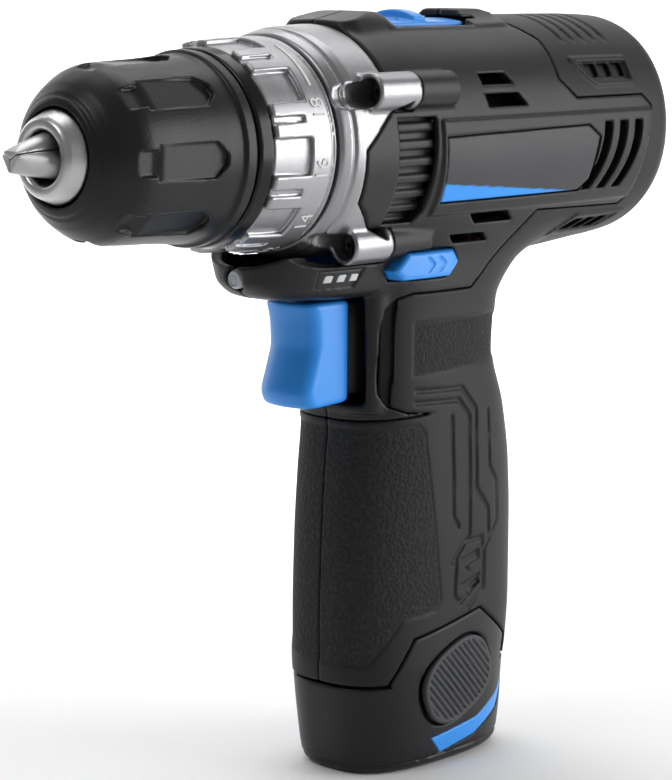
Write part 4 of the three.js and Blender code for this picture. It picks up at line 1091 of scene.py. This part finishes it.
def screw_nodes():
    """Screw heads with a hexagon socket, one on each point, each turned at random about its own axis."""
    group = bpy.data.node_groups.new("casing_screws", "GeometryNodeTree")
    group.is_modifier = True
    kinds = {"Places": "Geometry", "Head radius": "Float", "Head height": "Float", "Socket radius": "Float",
             "Seed": "Int", "Finish": "Material"}
    sockets = {name: group.interface.new_socket(name=name, in_out="INPUT", socket_type="NodeSocket" + kind)
               for name, kind in kinds.items()}
    group.interface.new_socket(name="Screws", in_out="OUTPUT", socket_type="NodeSocketGeometry")

    def make(kind, **settings):
        node = group.nodes.new(kind)
        for key, value in settings.items():
            setattr(node, key, value)
        return node

    link = group.links.new
    given = make("NodeGroupInput").outputs
    head = make("GeometryNodeMeshCylinder")
    head.inputs["Vertices"].default_value = 40
    link(given["Head radius"], head.inputs["Radius"])
    link(given["Head height"], head.inputs["Depth"])
    socket = make("GeometryNodeMeshCylinder")
    socket.inputs["Vertices"].default_value = 6
    link(given["Socket radius"], socket.inputs["Radius"])
    link(given["Head height"], socket.inputs["Depth"])
    half = make("ShaderNodeMath", operation="MULTIPLY")
    half.inputs[1].default_value = 0.5
    link(given["Head height"], half.inputs[0])
    lift = make("ShaderNodeCombineXYZ")
    link(half.outputs[0], lift.inputs["Z"])
    raised = make("GeometryNodeTransform")
    link(socket.outputs["Mesh"], raised.inputs["Geometry"])
    link(lift.outputs[0], raised.inputs["Translation"])
    bored = make("GeometryNodeMeshBoolean", operation="DIFFERENCE")
    link(head.outputs["Mesh"], bored.inputs["Mesh 1"])
    link(raised.outputs["Geometry"], bored.inputs["Mesh 2"])
    facing = make("GeometryNodeInputNamedAttribute", data_type="FLOAT_VECTOR")
    facing.inputs["Name"].default_value = "facing"
    aim = make("FunctionNodeAlignRotationToVector", axis="Z")
    link(facing.outputs["Attribute"], aim.inputs["Vector"])
    spin = make("FunctionNodeRandomValue", data_type="FLOAT")
    spin_high = [s for s in spin.inputs if s.name == "Max" and s.type == "VALUE"][0]
    spin_high.default_value = math.pi / 3
    link(given["Seed"], spin.inputs["Seed"])
    twist = make("FunctionNodeAxisAngleToRotation")
    twist.inputs["Axis"].default_value = (0, 0, 1)
    link([s for s in spin.outputs if s.type == "VALUE"][0], twist.inputs["Angle"])
    turned = make("FunctionNodeRotateRotation", rotation_space="LOCAL")
    link(aim.outputs["Rotation"], turned.inputs["Rotation"])
    link(twist.outputs["Rotation"], turned.inputs["Rotate By"])
    spread = make("GeometryNodeInstanceOnPoints")
    link(given["Places"], spread.inputs["Points"])
    link(bored.outputs["Mesh"], spread.inputs["Instance"])
    link(turned.outputs["Rotation"], spread.inputs["Rotation"])
    real = make("GeometryNodeRealizeInstances")
    link(spread.outputs["Instances"], real.inputs["Geometry"])
    painted = make("GeometryNodeSetMaterial")
    link(real.outputs["Geometry"], painted.inputs["Geometry"])
    link(given["Finish"], painted.inputs["Material"])
    link(painted.outputs["Geometry"], make("NodeGroupOutput").inputs["Screws"])
    return group, sockets


def build_screws():
    """Casing screws on the right side, their heads level with the surface."""
    x, z = np.array(SCREW_PLACES, float).T
    low, high = np.zeros(len(x)), np.full(len(x), 32.0)
    for _ in range(40):
        half_way = (low + high) / 2
        inside = outer(x, half_way, z) < 0
        low, high = np.where(inside, half_way, low), np.where(inside, high, half_way)
    points = np.stack([x, -low, z], -1)
    slope = [outer(*(points + 0.05 * step).T) - outer(*(points - 0.05 * step).T) for step in np.eye(3)]
    facing = np.stack(slope, -1)
    facing /= np.linalg.norm(facing, axis=1, keepdims=True)
    mesh = bpy.data.meshes.new("screw_places")
    mesh.from_pydata(((points - 0.6 * facing) / 1000).tolist(), [], [])
    layer = mesh.attributes.new("facing", "FLOAT_VECTOR", "POINT")
    layer.data.foreach_set("vector", facing.astype(np.float32).ravel())
    holder = bpy.data.objects.new("screw_places", mesh)
    bpy.context.collection.objects.link(holder)
    group, sockets = screw_nodes()
    modifier = holder.modifiers.new("screws", "NODES")
    modifier.node_group = group
    for name, value in {"Head radius": 0.0026, "Head height": 0.0016, "Socket radius": 0.0012, "Seed": 7,
                        "Finish": DARK_STEEL}.items():
        modifier[sockets[name].identifier] = value
    bpy.context.view_layer.update()
    evaluated = holder.evaluated_get(bpy.context.evaluated_depsgraph_get())
    heads = bpy.data.meshes.new_from_object(evaluated)
    holder.modifiers.remove(modifier)
    bpy.data.objects.remove(holder)
    heads.name = "casing_screws"
    made = bpy.data.objects.new("casing_screws", heads)
    bpy.context.collection.objects.link(made)
    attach(made, "drill_body")


def build_finish_for_cad():
    """Materials for the CAD pieces that stay as they are, inside or behind the shells."""
    finishes = {
        "front_bearing": STEEL, "spindle": STEEL, "shift_fork": STEEL, "clutch_spring": STEEL,
        "clutch_nut": BRASS,
        "terminal_block": BRASS, "wire_loom": WIRE_COVER, "armature": COPPER, "motor_end_cap": PLASTIC,
        "cooling_fan": PLASTIC, "switch_body": PLASTIC, "chuck_nut": GEAR_STEEL, "chuck_screw": DARK_STEEL,
        "motor_can": GEAR_STEEL, "motor_magnet_left": DARK_STEEL, "motor_magnet_right": DARK_STEEL,
    }
    for name, node in frame["nodes"].items():
        finish = finishes.get(name)
        if name.startswith(("ring_gear", "planet", "carrier")):
            finish = GEAR_STEEL
        if name.startswith("gearbox_screw"):
            finish = DARK_STEEL
        if name.startswith("cell_"):
            finish = CELL_WRAP
        if finish:
            node.data.materials.clear()
            node.data.materials.append(finish)


build_casing()
build_name_plates()
build_gearbox()
build_collar()
build_chuck()
build_keys()
build_lamp_and_gauge()
build_battery()
build_screws()
build_finish_for_cad()


# ------------------------------------------------------------------ floor, light, camera
def sweep():
    """A pale floor that curves up into a backdrop."""
    rows = []
    for i in range(25):
        t = i / 24
        if t < 0.4:
            rows.append((-1.4 + 2.4 * t / 0.4, 0.0))
        elif t < 0.7:
            turn_by = (t - 0.4) / 0.3 * math.pi / 2
            rows.append((1.0 + 0.9 * math.sin(turn_by), 0.9 - 0.9 * math.cos(turn_by)))
        else:
            rows.append((1.9, 0.9 + (t - 0.7) / 0.3 * 2.5))
    back = math.radians(CAMERA_AZIMUTH)
    away = Vector((-math.sin(back), math.cos(back), 0))
    across = Vector((math.cos(back), math.sin(back), 0))
    points, faces = [], []
    for depth, height in rows:
        for side in (-3.0, 3.0):
            points.append(away * depth + across * side + Vector((0, 0, height - 0.0002)))
    for i in range(len(rows) - 1):
        a = 2 * i
        faces.append((a, a + 1, a + 3, a + 2))
    mesh = bpy.data.meshes.new("studio_sweep")
    mesh.from_pydata([p[:] for p in points], [], faces)
    mesh.shade_smooth()
    f = Finish("studio_white")
    f.set(colour=f.mix(f.noise(3, 1), (0.86, 0.86, 0.86, 1), (0.9, 0.9, 0.9, 1)), rough=0.9)
    mesh.materials.append(f.material)
    made = bpy.data.objects.new("studio_sweep", mesh)
    bpy.context.collection.objects.link(made)


CAMERA_AZIMUTH = 132.88
CAMERA_ELEVATION = 9.26
CAMERA_ROLL = 0.44
CAMERA_REACH = 0.57661
CAMERA_RIGHT = 0.03429
CAMERA_DOWN = 0.05175
AIM = Vector((0.074, 0, AXIS_Z / 1000))


def camera_axes():
    a, e = math.radians(CAMERA_AZIMUTH), math.radians(CAMERA_ELEVATION)
    back = Vector((math.sin(a) * math.cos(e), -math.cos(a) * math.cos(e), math.sin(e)))
    right = Vector((math.cos(a), math.sin(a), 0))
    up = back.cross(right)
    roll = math.radians(CAMERA_ROLL)
    return math.cos(roll) * right + math.sin(roll) * up, -math.sin(roll) * right + math.cos(roll) * up, back


def lamp(name, place, target, size, power, colour=(1, 1, 1)):
    data = bpy.data.lights.new(name, "AREA")
    data.shape = "RECTANGLE"
    data.size, data.size_y = size
    data.energy = power
    data.color = colour
    made = bpy.data.objects.new(name, data)
    made.location = place
    made.rotation_euler = (Vector(target) - Vector(place)).to_track_quat("-Z", "Y").to_euler()
    bpy.context.collection.objects.link(made)


right, up, back = camera_axes()
camera = bpy.data.objects.new("camera", bpy.data.cameras.new("camera"))
bpy.context.collection.objects.link(camera)
spot = AIM + CAMERA_RIGHT * right - CAMERA_DOWN * up + CAMERA_REACH * back
camera.matrix_world = Matrix.Translation(spot) @ Matrix((right, up, back)).transposed().to_4x4()
camera.data.sensor_width = 36
camera.data.lens = 123.77
camera.data.clip_start = 0.01
bpy.context.scene.camera = camera
sweep()

middle = Vector((0.0, 0, 0.1))
lamp("key_left", middle - 0.5 * right + 0.6 * up + 0.5 * back, middle, (0.3, 0.3), 1.5)
lamp("fill_right", middle + 0.85 * right + 0.05 * up + 0.12 * back, middle, (0.7, 0.9), 9.0)
lamp("top", middle + 0.8 * up - 0.1 * back, middle, (0.5, 0.4), 1.5)
lamp("rim_left", middle - 0.7 * right + 0.2 * up - 0.4 * back, middle, (0.25, 0.8), 1.6)
lamp("backdrop", middle + 1.0 * up - 0.5 * back, middle - 1.6 * back + 0.2 * up, (1.6, 0.5), 30.0)

world = bpy.data.worlds.new("studio")
world.use_nodes = True
world.node_tree.nodes["Background"].inputs[0].default_value = (1, 1, 1, 1)
world.node_tree.nodes["Background"].inputs[1].default_value = 0.22
bpy.context.scene.world = world
bpy.context.scene.view_settings.view_transform = "Standard"
